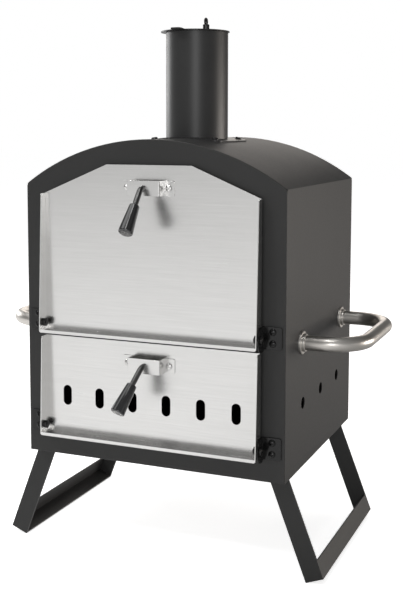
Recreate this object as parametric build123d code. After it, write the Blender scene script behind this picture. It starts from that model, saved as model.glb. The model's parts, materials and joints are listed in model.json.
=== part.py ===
from build123d import *
import math
import os

# Charcoal pizza oven: an arched sheet-steel body on two folding legs, with two
# drop-down stainless doors, turning door latches, side handles and a flue with
# a swinging damper lid.  Millimetres.  While modelling, X runs to the right,
# Y runs back from the face of the front frame and Z runs up from the lower
# edge of the body.  Every piece is moved to the floor's centre when it is saved.

# Body
BODY_WIDTH = 400.0
BODY_DEPTH = 348.0
SHOULDER_HEIGHT = 401.0
ARCH_RISE = 65.5
SHEET = 1.5
END_PLATE = 2.0
SHOULDER_RADIUS = 9.0
EDGE_RADIUS = 1.2
FLOOR_HEIGHT = 30.0
FLOOR_LIP = 7.0

# Doors
FRAME_STILE = 33.1
FRAME_CROWN = 35.7
FRAME_SHOULDER = 13.0
DOOR_SHEET = 1.2
DOOR_PROUD = 6.0
DOOR_LAP = 9.0
DOOR_GAP = 9.6
BOTTOM_RAIL = 36.4
LOWER_DOOR_HEIGHT = 143.0
UPPER_DOOR_SLANT = 101.7
FLANGE_DEPTH = 20.0
UPPER_FLANGE_TOP = 11.0
LOWER_FLANGE_TOP = 14.0
FLANGE_CORNER = 3.0
SILL_LIP = 4.4
SILL_LIP_CORNER = 3.0
OPENING_CORNER = 6.0
SLOT_COUNT = 6
SLOT_MARGIN = 35.15
SLOT_WIDTH = 13.6
SLOT_HEIGHT = 29.6
SLOT_RISE = 55.5

# Door hinges
HINGE_SHEET = 2.0
HINGE_PLATE_WIDTH = 28.0
HINGE_PLATE_BELOW = 14.5
HINGE_PLATE_ABOVE = 16.5
HINGE_FORWARD = 15.0
HINGE_LIFT = 10.5
HINGE_EAR_RADIUS = 17.0
HINGE_EAR_FORWARD = 7.5
HINGE_EAR_DROP = 1.2
HINGE_SCREW_SPACING = 16.0
HINGE_SCREW_RISE = 1.5
HINGE_PLATE_CORNER = 3.0

# Door latches
LATCH_OFFSET = 0.0
UPPER_LATCH_REST = 2.0
LOWER_LATCH_REST = 16.0
UPPER_LATCH_DROP = 31.6
LOWER_LATCH_DROP = 29.4
LATCH_BRACKET_WIDTH = 50.0
LATCH_BRACKET_HEIGHT = 21.0
LATCH_BRACKET_DEPTH = 18.0
LATCH_EAR = 17.0
LATCH_SHEET = 1.5
LATCH_BRACKET_CORNER = 2.5
LATCH_ROD = 8.0
LATCH_ELBOW = 7.0
LATCH_BEND = 12.0
LATCH_NECK = 27.5
ROD_COLLAR = 12.0
LATCH_NUT_FLATS = 13.0
ROD_COLLAR_LENGTH = 4.0
GRIP_TILT = 37.3
GRIP_LENGTH = 44.6
GRIP_TOP = 14.6
GRIP_END = 20.6
GRIP_SOCKET = 14.0
GRIP_TOP_ROUND = 1.8
GRIP_END_ROUND = 1.2
FINGER_WIDTH = 10.0
FINGER_THICK = 3.0
LATCH_CATCH = 7.0
FINGER_CLEARANCE = 0.6

# Side air vents
VENT_COUNT = 3
VENT_DIAMETER = 17.0
VENT_PITCH = 91.0
VENT_HEIGHT = 93.0

# Side handles
HANDLE_HEIGHT = 182.0
HANDLE_FRONT = 74.0
HANDLE_SPAN = 211.0
HANDLE_REACH = 82.0
HANDLE_BEND = 52.0
HANDLE_TUBE = 21.0
HANDLE_WALL = 1.5
ROSE_DIAMETER = 33.0
ROSE_THICK = 3.0
ROSE_NECK = 25.5
ROSE_LENGTH = 7.0
ROSE_BEVEL = 0.9
HANDLE_BOLT_HEAD = 4.0
HANDLE_WASHER = 1.2
HANDLE_WASHER_DIAMETER = 14.0
HANDLE_PLUG = 15.0

# Flue and damper
FLUE_DIAMETER = 95.0
FLUE_WALL = 1.5
FLUE_HEIGHT = 160.0
FLUE_SETBACK = 170.0
FLUE_PLATE = 124.0
FLUE_PLATE_THICK = 2.0
FLUE_PLATE_CORNER = 12.0
FLUE_BOLT_SPACING = 98.0
LID_DIAMETER = 105.0
LID_THICK = 1.5
LID_PIVOT = 36.0
LID_SWUNG = 5.0
LID_TAB_WIDTH = 18.0
LID_TAB_LENGTH = 15.0
LID_TAB_LIFT = 5.0
LUG_WIDTH = 18.0
LUG_LENGTH = 14.0
LUG_THICK = 2.5
DAMPER_BOLT_FLATS = 8.0
DAMPER_BOLT_HEAD = 3.5
DAMPER_BOLT = 5.0
DAMPER_SPACER = 5.0
DAMPER_SPACER_DIAMETER = 7.5
EYE_HUB = 10.5
EYE_HUB_HEIGHT = 9.0
EYE_HUB_ROUND = 1.5
EYE_THREAD_DEPTH = 4.5
EYE_RING = 12.0
EYE_WIRE = 3.4
EYE_TURN = 90.0

# Folding legs
LEG_STRIP = 27.0
LEG_THICK = 3.0
LEG_LENGTH = 164.0
LEG_SPLAY = 21.0
LEG_FRONT = 23.0
LEG_SPAN = 284.0
LEG_FLANGE = 26.0
LEG_PIVOT_HEIGHT = 14.0
LEG_BRACKET_THICK = 2.5
LEG_BRACKET_WIDTH = 24.0
LEG_BRACKET_FOOT = 18.0

# Inside the oven
STONE_DIAMETER = 300.0
STONE_THICK = 12.0
STONE_TOP_ABOVE_SILL = 10.0
RACK_WIDTH = 308.0
RACK_DEPTH = 318.0
RACK_CORNER = 14.0
RACK_FRAME_WIRE = 5.0
RACK_BAR_WIRE = 4.0
RACK_BARS = 11
RAIL_BEARING = 11.5
RAIL_LEAF = 14.0
RAIL_END = 14.0
TRAY_WIDTH = 296.0
TRAY_LENGTH = 286.0
TRAY_DEPTH = 40.0
TRAY_RIM = 7.0
TRAY_SHEET = 1.2
TRAY_HANG = 19.0
TRAY_SLOTS = 9
TRAY_SLOT_WIDTH = 6.0
TRAY_SLOT_LENGTH = 105.0
TRAY_SIDE_GAP = 2.5
ASH_WIDTH = 300.0
ASH_LENGTH = 300.0
ASH_DEPTH = 20.0
ASH_CORNER = 10.0
ASH_LIP = 12.0
STONE_BEVEL = 1.2

# Fasteners and fits
SCREW = 5.0
PAN_HEAD = 10.0
PAN_HEAD_HEIGHT = 3.0
RECESS_WIDTH = 1.3
RECESS_DEPTH = 1.3
PIVOT_BOLT = 6.0
NUT_FLATS = 10.0
NUT_HEIGHT = 5.0
BUTTON_HEAD = 11.0
BUTTON_HEAD_HEIGHT = 3.5
BUTTON_HEAD_ROUND = 2.0
BUTTON_SOCKET = 4.0
BUTTON_SOCKET_DEPTH = 2.0
THREAD_END = 1.0
SCREW_END = 3.0
RUNNING_FIT = 0.06
HOLE_FIT = 0.1
MOVING_GAP = 0.3
RESTING_GAP = 0.05

# Worked out from the sizes above
HALF_WIDTH = BODY_WIDTH / 2
ARCH_RADIUS = (HALF_WIDTH**2 + ARCH_RISE**2) / (2 * ARCH_RISE)
ARCH_CENTRE = SHOULDER_HEIGHT + ARCH_RISE - ARCH_RADIUS
ARCH_TOP = SHOULDER_HEIGHT + ARCH_RISE
INNER_HALF = HALF_WIDTH - SHEET
BACK_INSIDE = BODY_DEPTH - END_PLATE
DOOR_WIDTH = BODY_WIDTH - 2 * FRAME_STILE
HALF_DOOR = DOOR_WIDTH / 2
UPPER_DOOR_TOP = DOOR_WIDTH - 2 * UPPER_DOOR_SLANT
SLOT_PITCH = (DOOR_WIDTH - 2 * SLOT_MARGIN) / (SLOT_COUNT - 1)
LOWER_DOOR_TOP = BOTTOM_RAIL + LOWER_DOOR_HEIGHT
UPPER_DOOR_BOTTOM = LOWER_DOOR_TOP + DOOR_GAP
UPPER_DOOR_SHOULDER = SHOULDER_HEIGHT - FRAME_SHOULDER
UPPER_DOOR_PEAK = ARCH_TOP - FRAME_CROWN
UPPER_DOOR_SIDE = UPPER_DOOR_SHOULDER - UPPER_DOOR_BOTTOM
UPPER_DOOR_HEIGHT = UPPER_DOOR_PEAK - UPPER_DOOR_BOTTOM
UPPER_SILL = UPPER_DOOR_BOTTOM + DOOR_LAP
LOWER_SILL = BOTTOM_RAIL + DOOR_LAP
UPPER_HINGE_Z = UPPER_DOOR_BOTTOM + HINGE_LIFT
LOWER_HINGE_Z = BOTTOM_RAIL + HINGE_LIFT
UPPER_LATCH_Z = UPPER_DOOR_PEAK - UPPER_LATCH_DROP
LOWER_LATCH_Z = LOWER_DOOR_TOP - LOWER_LATCH_DROP
HINGE_INNER = HALF_DOOR + MOVING_GAP
HINGE_SCREW_X = HINGE_INNER + HINGE_SHEET + (HINGE_PLATE_WIDTH - HINGE_SHEET) / 2
SHANK_RADIUS = SCREW / 2
LATCH_RADIUS = LATCH_ROD / 2
LATCH_FACE_Y = -DOOR_PROUD - LATCH_BRACKET_DEPTH
FINGER_Y = END_PLATE + FINGER_CLEARANCE
FLUE_TOP = ARCH_TOP + FLUE_HEIGHT
FLUE_BORE = FLUE_DIAMETER - 2 * FLUE_WALL
LID_UNDERSIDE = FLUE_TOP + MOVING_GAP
EYE_NUT_SEAT = LID_UNDERSIDE + LID_THICK + MOVING_GAP + DAMPER_SPACER
PIVOT_Y = FLUE_SETBACK + LID_PIVOT
LEG_SIN = math.sin(math.radians(LEG_SPLAY))
LEG_COS = math.cos(math.radians(LEG_SPLAY))
LEG_PIVOT_X = (
    INNER_HALF
    - (MOVING_GAP + LEG_STRIP / 2) / LEG_COS
    - LEG_PIVOT_HEIGHT * LEG_SIN / LEG_COS
)
FLOOR_UNDERSIDE = FLOOR_HEIGHT - SHEET
STONE_RAIL_WIDTH = INNER_HALF - RACK_WIDTH / 2 + RAIL_BEARING
TRAY_RAIL_WIDTH = INNER_HALF - TRAY_WIDTH / 2 - TRAY_SIDE_GAP
STONE_RAIL_TOP = UPPER_SILL + STONE_TOP_ABOVE_SILL - STONE_THICK - RACK_FRAME_WIRE - RESTING_GAP
TRAY_RAIL_TOP = LOWER_DOOR_TOP - DOOR_LAP - TRAY_HANG


def block(x_range, y_range, z_range):
    """A box between two planes on each axis."""
    size = [high - low for low, high in (x_range, y_range, z_range)]
    middle = [(high + low) / 2 for low, high in (x_range, y_range, z_range)]
    return Pos(*middle) * Box(*size)


def bar_x(radius, x_range, y, z):
    """A round bar along X."""
    length = x_range[1] - x_range[0]
    return Pos((x_range[0] + x_range[1]) / 2, y, z) * Rot(0, 90, 0) * Cylinder(radius, length)


def bar_y(radius, y_range, x, z):
    """A round bar along Y."""
    length = y_range[1] - y_range[0]
    return Pos(x, (y_range[0] + y_range[1]) / 2, z) * Rot(90, 0, 0) * Cylinder(radius, length)


def bar_z(radius, z_range, x, y):
    """A round bar along Z."""
    length = z_range[1] - z_range[0]
    return Pos(x, y, (z_range[0] + z_range[1]) / 2) * Cylinder(radius, length)


def slab_y(face, y_range):
    """A face drawn as X and Z, made a plate between two Y planes."""
    return extrude(Plane.XZ.offset(-y_range[1]) * face, amount=y_range[1] - y_range[0])


def slab_x(face, x_range):
    """A face drawn as Y and Z, made a plate between two X planes."""
    return extrude(Plane.YZ.offset(x_range[0]) * face, amount=x_range[1] - x_range[0])


def slab_z(face, z_range):
    """A face drawn as X and Y, made a plate between two Z planes."""
    return extrude(Plane.XY.offset(z_range[0]) * face, amount=z_range[1] - z_range[0])


def mirrored(shape):
    """The same piece on the other side of the oven."""
    return mirror(shape, about=Plane.YZ)


def arch_face(inset, low):
    """The body's arched outline, drawn in by inset, from the height low upwards."""
    half = HALF_WIDTH - inset
    radius = ARCH_RADIUS - inset
    shoulder = ARCH_CENTRE + math.sqrt(radius**2 - half**2)
    sides = Polyline((-half, shoulder), (-half, low), (half, low), (half, shoulder))
    crown = ThreePointArc((half, shoulder), (0, ARCH_CENTRE + radius), (-half, shoulder))
    return make_face(sides + crown)


def rounded_end_plate():
    """The arched outline with its two shoulder corners rounded."""
    face = arch_face(0, 0)
    shoulders = [v for v in face.vertices() if v.Y > SHOULDER_HEIGHT / 2]
    return fillet(shoulders, SHOULDER_RADIUS)


def door_face(low, side, peak, top_width):
    """A door's outline: upright sides, then slants up to a narrower top edge."""
    points = [
        (-HALF_DOOR, low),
        (HALF_DOOR, low),
        (HALF_DOOR, low + side),
        (top_width / 2, low + peak),
        (-top_width / 2, low + peak),
        (-HALF_DOOR, low + side),
    ]
    return make_face(Polyline(*points, close=True))


def upper_door_face():
    return door_face(UPPER_DOOR_BOTTOM, UPPER_DOOR_SIDE, UPPER_DOOR_HEIGHT, UPPER_DOOR_TOP)


def lower_door_face():
    return Pos(0, (BOTTOM_RAIL + LOWER_DOOR_TOP) / 2) * Rectangle(DOOR_WIDTH, LOWER_DOOR_HEIGHT)


def opening_behind(face):
    """The frame's opening behind a door, smaller by the lap and round at its corners."""
    opening = offset(face, amount=-DOOR_LAP, kind=Kind.INTERSECTION)
    return fillet(opening.vertices(), OPENING_CORNER)


def hinge_screw_places():
    """X and Z of the eight screws that hold the hinge brackets."""
    places = []
    for pivot in (UPPER_HINGE_Z, LOWER_HINGE_Z):
        for side in (-1, 1):
            for step in (-1, 1):
                height = pivot + HINGE_SCREW_RISE + step * HINGE_SCREW_SPACING / 2
                places.append((side * HINGE_SCREW_X, height))
    return places


def pan_screw(grip):
    """A cross-recessed pan-head screw along Z: seat at 0, head above, shank below."""
    head = Pos(0, 0, PAN_HEAD_HEIGHT / 2) * Cylinder(PAN_HEAD / 2, PAN_HEAD_HEIGHT)
    head = fillet(head.edges().group_by(Axis.Z)[-1], PAN_HEAD_HEIGHT * 0.6)
    recess = Box(PAN_HEAD * 0.5, RECESS_WIDTH, 2 * RECESS_DEPTH)
    recess += Box(RECESS_WIDTH, PAN_HEAD * 0.5, 2 * RECESS_DEPTH)
    head -= Pos(0, 0, PAN_HEAD_HEIGHT) * recess
    return head + Pos(0, 0, -grip / 2) * Cylinder(SHANK_RADIUS, grip)


def hex_nut(bore_radius, flats=NUT_FLATS):
    """A hexagon nut along Z, standing on 0."""
    outline = RegularPolygon(flats / 2, 6, major_radius=False) - Circle(bore_radius)
    return extrude(outline, amount=NUT_HEIGHT)


def button_head():
    """A round-topped screw head along Z with a hexagon socket, standing on 0."""
    head = Pos(0, 0, BUTTON_HEAD_HEIGHT / 2) * Cylinder(BUTTON_HEAD / 2, BUTTON_HEAD_HEIGHT)
    head = fillet(head.edges().group_by(Axis.Z)[-1], BUTTON_HEAD_ROUND)
    socket = extrude(RegularPolygon(BUTTON_SOCKET / 2, 6), amount=BUTTON_HEAD_HEIGHT)
    return head - Pos(0, 0, BUTTON_HEAD_HEIGHT - BUTTON_SOCKET_DEPTH) * socket


def facing_front(shape):
    """Turns a piece that points up so that it points forward, to -Y."""
    return Rot(90, 0, 0) * shape


def front_frame():
    plate = slab_y(rounded_end_plate(), (0, END_PLATE))
    rim = [e for e in plate.edges() if abs(e.center().Y) < 0.01]
    plate = fillet(rim, EDGE_RADIUS)
    plate -= slab_y(opening_behind(upper_door_face()), (-1, END_PLATE + 1))
    plate -= slab_y(opening_behind(lower_door_face()), (-1, END_PLATE + 1))
    for x, z in hinge_screw_places():
        plate -= bar_y(SHANK_RADIUS + HOLE_FIT, (-1, END_PLATE + 1), x, z)
    return plate


def back_panel():
    plate = slab_y(rounded_end_plate(), (BACK_INSIDE, BODY_DEPTH))
    rim = [e for e in plate.edges() if abs(e.center().Y - BODY_DEPTH) < 0.01]
    return fillet(rim, EDGE_RADIUS)


def handle_places():
    return (HANDLE_FRONT, HANDLE_FRONT + HANDLE_SPAN)


def side_panel():
    panel = block((INNER_HALF, HALF_WIDTH), (END_PLATE, BACK_INSIDE), (0, SHOULDER_HEIGHT))
    panel &= slab_y(arch_face(0, 0) - arch_face(SHEET, -1), (0, BODY_DEPTH))
    across = (INNER_HALF - 1, HALF_WIDTH + 1)
    first = BODY_DEPTH / 2 - (VENT_COUNT - 1) * VENT_PITCH / 2
    for i in range(VENT_COUNT):
        panel -= bar_x(VENT_DIAMETER / 2, across, first + i * VENT_PITCH, VENT_HEIGHT)
    for y in handle_places():
        panel -= bar_x(PIVOT_BOLT / 2 + HOLE_FIT, across, y, HANDLE_HEIGHT)
    return panel


def flue_bolt_locations(radius):
    """The four flange bolts, standing square to the arch at the given radius."""
    half = FLUE_BOLT_SPACING / 2
    lean = math.degrees(math.asin(half / ARCH_RADIUS))
    return [
        Pos(0, FLUE_SETBACK + dy, ARCH_CENTRE) * Rot(0, side * lean, 0) * Pos(0, 0, radius)
        for side in (-1, 1)
        for dy in (-half, half)
    ]


def roof_panel():
    y_range = (END_PLATE, BACK_INSIDE)
    roof = slab_y(arch_face(0, 0) - arch_face(SHEET, -1), y_range)
    roof &= block((-HALF_WIDTH, HALF_WIDTH), y_range, (SHOULDER_HEIGHT, ARCH_TOP + 1))
    roof -= bar_z(FLUE_BORE / 2, (SHOULDER_HEIGHT, ARCH_TOP + 1), 0, FLUE_SETBACK)
    for spot in flue_bolt_locations(ARCH_RADIUS):
        roof -= spot * Cylinder(SHANK_RADIUS + HOLE_FIT, 4 * SHEET)
    return roof


def base_panel():
    """The ash floor: a shallow pan welded between the side panels."""
    x_range = (-INNER_HALF, INNER_HALF)
    y_range = (END_PLATE, BACK_INSIDE)
    pan = block(x_range, y_range, (FLOOR_UNDERSIDE, FLOOR_HEIGHT + FLOOR_LIP))
    inside = block(
        (x_range[0] + SHEET, x_range[1] - SHEET),
        (y_range[0] + SHEET, y_range[1] - SHEET),
        (FLOOR_HEIGHT, FLOOR_HEIGHT + FLOOR_LIP + 1),
    )
    return pan - inside


def hinge_bracket(pivot_z):
    """An angle plate on the frame with a rounded ear that carries the door's pivot."""
    low = pivot_z - HINGE_PLATE_BELOW
    high = pivot_z + HINGE_PLATE_ABOVE
    inner = HINGE_INNER
    outer = inner + HINGE_PLATE_WIDTH
    plate = block((inner, outer), (-HINGE_SHEET, 0), (low, high))
    corners = [e for e in plate.edges().filter_by(Axis.Y) if e.center().X > (inner + outer) / 2]
    plate = fillet(corners, HINGE_PLATE_CORNER)
    ear_face = Pos(-HINGE_EAR_FORWARD, pivot_z - HINGE_EAR_DROP) * Circle(HINGE_EAR_RADIUS)
    ear_face &= Pos(-HINGE_FORWARD, pivot_z) * Rectangle(2 * HINGE_FORWARD, 4 * HINGE_EAR_RADIUS)
    bracket = plate + slab_x(ear_face, (inner, inner + HINGE_SHEET))
    across = (inner - 1, inner + HINGE_SHEET + 1)
    bracket -= bar_x(PIVOT_BOLT / 2 + RUNNING_FIT, across, -HINGE_FORWARD, pivot_z)
    for x, z in hinge_screw_places():
        if x > 0 and low < z < high:
            bracket -= bar_y(SHANK_RADIUS + HOLE_FIT, (-HINGE_SHEET - 1, 1), x, z)
    return bracket


def hinge_bracket_screws():
    screw = facing_front(pan_screw(HINGE_SHEET + END_PLATE + SCREW_END))
    return [Pos(x, -HINGE_SHEET, z) * screw for x, z in hinge_screw_places()]


def hinge_bolt(pivot_z):
    """A button-head pivot bolt through the ear and the door's side flange."""
    seat = HINGE_INNER + HINGE_SHEET + MOVING_GAP
    head = Pos(seat, -HINGE_FORWARD, pivot_z) * Rot(0, 90, 0) * button_head()
    inner_end = HALF_DOOR - DOOR_SHEET - NUT_HEIGHT - THREAD_END
    return head + bar_x(PIVOT_BOLT / 2, (inner_end, seat), -HINGE_FORWARD, pivot_z)


def hinge_nut(pivot_z):
    nut = Rot(0, -90, 0) * hex_nut(PIVOT_BOLT / 2 + HOLE_FIT)
    return Pos(HALF_DOOR - DOOR_SHEET, -HINGE_FORWARD, pivot_z) * nut


def side_flange(low, high, top_depth):
    """A door's side flange, shallower towards its rounded top."""
    front = -DOOR_PROUD
    points = [
        (front + DOOR_SHEET, low),
        (front - FLANGE_DEPTH, low),
        (front - top_depth, high),
        (front + DOOR_SHEET, high),
    ]
    face = make_face(Polyline(*points, close=True))
    nose = face.vertices().sort_by(Axis.Y)[-2:].sort_by(Axis.X)[0]
    face = fillet(nose, FLANGE_CORNER)
    return slab_x(face, (HALF_DOOR - DOOR_SHEET, HALF_DOOR))


def sill_lip(low, lip_front):
    """The front edge of a door's sill, folded down, with rounded lower corners."""
    middle = low + DOOR_SHEET - SILL_LIP / 2
    face = Pos(0, middle) * Rectangle(DOOR_WIDTH, SILL_LIP)
    lower = [v for v in face.vertices() if v.Y < middle]
    face = fillet(lower, SILL_LIP_CORNER)
    return slab_y(face, (lip_front, lip_front + DOOR_SHEET))


def tray_door(face, low, side_top, top_depth, pivot_z, latch_z):
    """A door folded from one sheet, with flanges that stand forward."""
    front = -DOOR_PROUD
    door = slab_y(face, (front, front + DOOR_SHEET))
    flange = side_flange(low, side_top, top_depth)
    door += flange + mirrored(flange)
    sill_face = Pos(0, front - FLANGE_DEPTH / 2) * Rectangle(DOOR_WIDTH, FLANGE_DEPTH)
    door += slab_z(sill_face, (low, low + DOOR_SHEET))
    door += sill_lip(low, front - FLANGE_DEPTH)
    hole = PIVOT_BOLT / 2 + HOLE_FIT
    for side in (-1, 1):
        x = side * HALF_DOOR
        door -= bar_x(hole, (x - 2 * DOOR_SHEET, x + 2 * DOOR_SHEET), -HINGE_FORWARD, pivot_z)
    through = (front - 1, front + DOOR_SHEET + 1)
    door -= bar_y(LATCH_RADIUS + RUNNING_FIT, through, LATCH_OFFSET, latch_z)
    for x in latch_screw_places():
        door -= bar_y(SHANK_RADIUS + HOLE_FIT, through, x, latch_z)
    return door


def upper_door():
    return tray_door(
        upper_door_face(),
        UPPER_DOOR_BOTTOM,
        UPPER_DOOR_SHOULDER,
        UPPER_FLANGE_TOP,
        UPPER_HINGE_Z,
        UPPER_LATCH_Z,
    )


def lower_door():
    door = tray_door(
        lower_door_face(),
        BOTTOM_RAIL,
        LOWER_DOOR_TOP,
        LOWER_FLANGE_TOP,
        LOWER_HINGE_Z,
        LOWER_LATCH_Z,
    )
    slot = Rot(0, 0, 90) * SlotOverall(SLOT_HEIGHT, SLOT_WIDTH)
    first = -(SLOT_COUNT - 1) * SLOT_PITCH / 2
    for i in range(SLOT_COUNT):
        place = Pos(first + i * SLOT_PITCH, BOTTOM_RAIL + SLOT_RISE)
        door -= slab_y(place * slot, (-DOOR_PROUD - 1, 0))
    return door


def latch_screw_places():
    """X of the two screws, in the middle of the bracket's ears."""
    middle = LATCH_BRACKET_WIDTH / 2 - LATCH_SHEET + LATCH_EAR / 2
    return (-middle, middle)


def latch_bracket(latch_z):
    """A hat-shaped stainless bracket on the door that steadies the latch rod."""
    half = LATCH_BRACKET_WIDTH / 2
    ear_end = half - LATCH_SHEET + LATCH_EAR
    back = -DOOR_PROUD
    z_range = (latch_z - LATCH_BRACKET_HEIGHT / 2, latch_z + LATCH_BRACKET_HEIGHT / 2)
    points = [
        (-ear_end, back),
        (-half + LATCH_SHEET, back),
        (-half + LATCH_SHEET, LATCH_FACE_Y + LATCH_SHEET),
        (half - LATCH_SHEET, LATCH_FACE_Y + LATCH_SHEET),
        (half - LATCH_SHEET, back),
        (ear_end, back),
        (ear_end, back - LATCH_SHEET),
        (half, back - LATCH_SHEET),
        (half, LATCH_FACE_Y),
        (-half, LATCH_FACE_Y),
        (-half, back - LATCH_SHEET),
        (-ear_end, back - LATCH_SHEET),
    ]
    hat = slab_z(make_face(Polyline(*points, close=True)), z_range)
    nose = [
        e for e in hat.edges().filter_by(Axis.Z) if abs(e.center().Y - LATCH_FACE_Y) < 0.01
    ]
    hat = fillet(nose, LATCH_SHEET)
    ends = [
        e for e in hat.edges().filter_by(Axis.Y) if abs(abs(e.center().X) - ear_end) < 0.01
    ]
    hat = fillet(ends, LATCH_BRACKET_CORNER)
    over = (LATCH_FACE_Y - 1, back + 1)
    hat -= bar_y(LATCH_RADIUS + RUNNING_FIT, over, LATCH_OFFSET, latch_z)
    for x in latch_screw_places():
        hat -= bar_y(SHANK_RADIUS + HOLE_FIT, (back - 2 * LATCH_SHEET, back + 1), x, latch_z)
    return hat


def latch_bracket_screws(latch_z):
    screw = facing_front(pan_screw(LATCH_SHEET + DOOR_SHEET + SCREW_END))
    return [Pos(x, -DOOR_PROUD - LATCH_SHEET, latch_z) * screw for x in latch_screw_places()]


def grip_direction():
    tilt = math.radians(GRIP_TILT)
    return Vector(0, -math.sin(tilt), -math.cos(tilt))


def latch_elbow(latch_z):
    return Vector(LATCH_OFFSET, LATCH_FACE_Y - LATCH_ELBOW, latch_z)


def latch_rod(latch_z):
    """A round rod through the door, bent down outside to carry the grip."""
    inner_end = FINGER_Y + FINGER_THICK + NUT_HEIGHT + THREAD_END
    start = Vector(LATCH_OFFSET, inner_end, latch_z)
    elbow = latch_elbow(latch_z)
    end = elbow + grip_direction() * (LATCH_NECK + GRIP_SOCKET)
    path = FilletPolyline(start, elbow, end, radius=LATCH_BEND)
    section = Plane(origin=start, z_dir=(0, -1, 0)) * Circle(LATCH_RADIUS)
    rod = sweep(section, path=path)
    collar_front = LATCH_FACE_Y + LATCH_SHEET + MOVING_GAP
    y_range = (collar_front, collar_front + ROD_COLLAR_LENGTH)
    return rod + bar_y(ROD_COLLAR / 2, y_range, LATCH_OFFSET, latch_z)


def latch_grip(latch_z):
    """A tapered grip, widest at its free end, with a socket for the rod."""
    profile = [(0, 0), (GRIP_TOP / 2, 0), (GRIP_END / 2, GRIP_LENGTH), (0, GRIP_LENGTH)]
    face = Plane.XZ * make_face(Polyline(*profile, close=True))
    grip = revolve(face, Axis.Z)
    grip = fillet(grip.edges().group_by(Axis.Z)[0], GRIP_TOP_ROUND)
    grip = fillet(grip.edges().group_by(Axis.Z)[-1], GRIP_END_ROUND)
    grip -= bar_z(LATCH_RADIUS + HOLE_FIT, (-1, GRIP_SOCKET + MOVING_GAP), 0, 0)
    seat = latch_elbow(latch_z) + grip_direction() * LATCH_NECK
    return Plane(origin=seat, x_dir=(1, 0, 0), z_dir=grip_direction()) * grip


def latch_finger(latch_z, opening_top):
    """A flat finger on the rod's inner end.  It lies level when the grip hangs
    down and stands up behind the frame when the grip is turned a quarter turn."""
    reach = opening_top - latch_z + LATCH_CATCH
    hub = LATCH_RADIUS + FINGER_WIDTH / 2
    outline = Circle(hub)
    outline += Pos(-reach / 2, 0) * Rectangle(reach, FINGER_WIDTH)
    outline = outline & (Pos(-reach / 2 + hub / 2, 0) * Rectangle(reach + hub, 2 * hub))
    tips = [v for v in outline.vertices() if v.X < -reach + 0.01]
    outline = fillet(tips, FINGER_WIDTH * 0.4)
    outline -= Circle(LATCH_RADIUS + HOLE_FIT)
    y_range = (FINGER_Y, FINGER_Y + FINGER_THICK)
    return slab_y(Pos(LATCH_OFFSET, latch_z) * outline, y_range)


def latch_nut(latch_z):
    nut = Rot(-90, 0, 0) * hex_nut(LATCH_RADIUS + HOLE_FIT, LATCH_NUT_FLATS)
    return Pos(LATCH_OFFSET, FINGER_Y + FINGER_THICK, latch_z) * nut


def side_handle():
    """A bent tube that stands out from the side panel on two roses."""
    foot = HALF_WIDTH + ROSE_THICK
    grip_x = HALF_WIDTH + HANDLE_REACH
    front, back = handle_places()
    path = FilletPolyline(
        (foot, front, HANDLE_HEIGHT),
        (grip_x, front, HANDLE_HEIGHT),
        (grip_x, back, HANDLE_HEIGHT),
        (foot, back, HANDLE_HEIGHT),
        radius=HANDLE_BEND,
    )
    ring = Circle(HANDLE_TUBE / 2) - Circle(HANDLE_TUBE / 2 - HANDLE_WALL)
    section = Plane(origin=(foot, front, HANDLE_HEIGHT), z_dir=(1, 0, 0)) * ring
    return sweep(section, path=path)


def handle_roses():
    """Turned collars that cover the ends of a side handle."""
    neck_bore = HANDLE_TUBE / 2 + HOLE_FIT
    profile = [
        (PIVOT_BOLT / 2 + HOLE_FIT, 0),
        (ROSE_DIAMETER / 2, 0),
        (ROSE_DIAMETER / 2, ROSE_THICK * 0.5),
        (ROSE_DIAMETER / 2 - ROSE_BEVEL, ROSE_THICK),
        (ROSE_NECK / 2, ROSE_THICK),
        (ROSE_NECK / 2, ROSE_LENGTH - ROSE_BEVEL),
        (ROSE_NECK / 2 - ROSE_BEVEL, ROSE_LENGTH),
        (neck_bore, ROSE_LENGTH),
        (neck_bore, ROSE_THICK - RESTING_GAP),
        (PIVOT_BOLT / 2 + HOLE_FIT, ROSE_THICK - RESTING_GAP),
    ]
    rose = revolve(Plane.XZ * make_face(Polyline(*profile, close=True)), Axis.Z)
    turned = Rot(0, 90, 0) * rose
    return [Pos(HALF_WIDTH, y, HANDLE_HEIGHT) * turned for y in handle_places()]


def handle_bolts():
    """Hexagon bolts from inside the body into threaded plugs in the tube."""
    head = extrude(
        RegularPolygon(NUT_FLATS / 2, 6, major_radius=False), amount=HANDLE_BOLT_HEAD
    )
    under_head = HANDLE_BOLT_HEAD + HANDLE_WASHER
    washer = Pos(0, 0, HANDLE_BOLT_HEAD + HANDLE_WASHER / 2) * Cylinder(
        HANDLE_WASHER_DIAMETER / 2, HANDLE_WASHER
    )
    plug_start = under_head + SHEET + ROSE_THICK + THREAD_END
    plug_radius = HANDLE_TUBE / 2 - HANDLE_WALL - RESTING_GAP
    plug = Pos(0, 0, plug_start + HANDLE_PLUG / 2) * Cylinder(plug_radius, HANDLE_PLUG)
    shank = Pos(0, 0, (under_head + plug_start) / 2) * Cylinder(
        PIVOT_BOLT / 2, plug_start - under_head
    )
    bolt = Rot(0, 90, 0) * (head + washer + shank + plug)
    start = INNER_HALF - under_head
    return [Pos(start, y, HANDLE_HEIGHT) * bolt for y in handle_places()]


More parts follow.
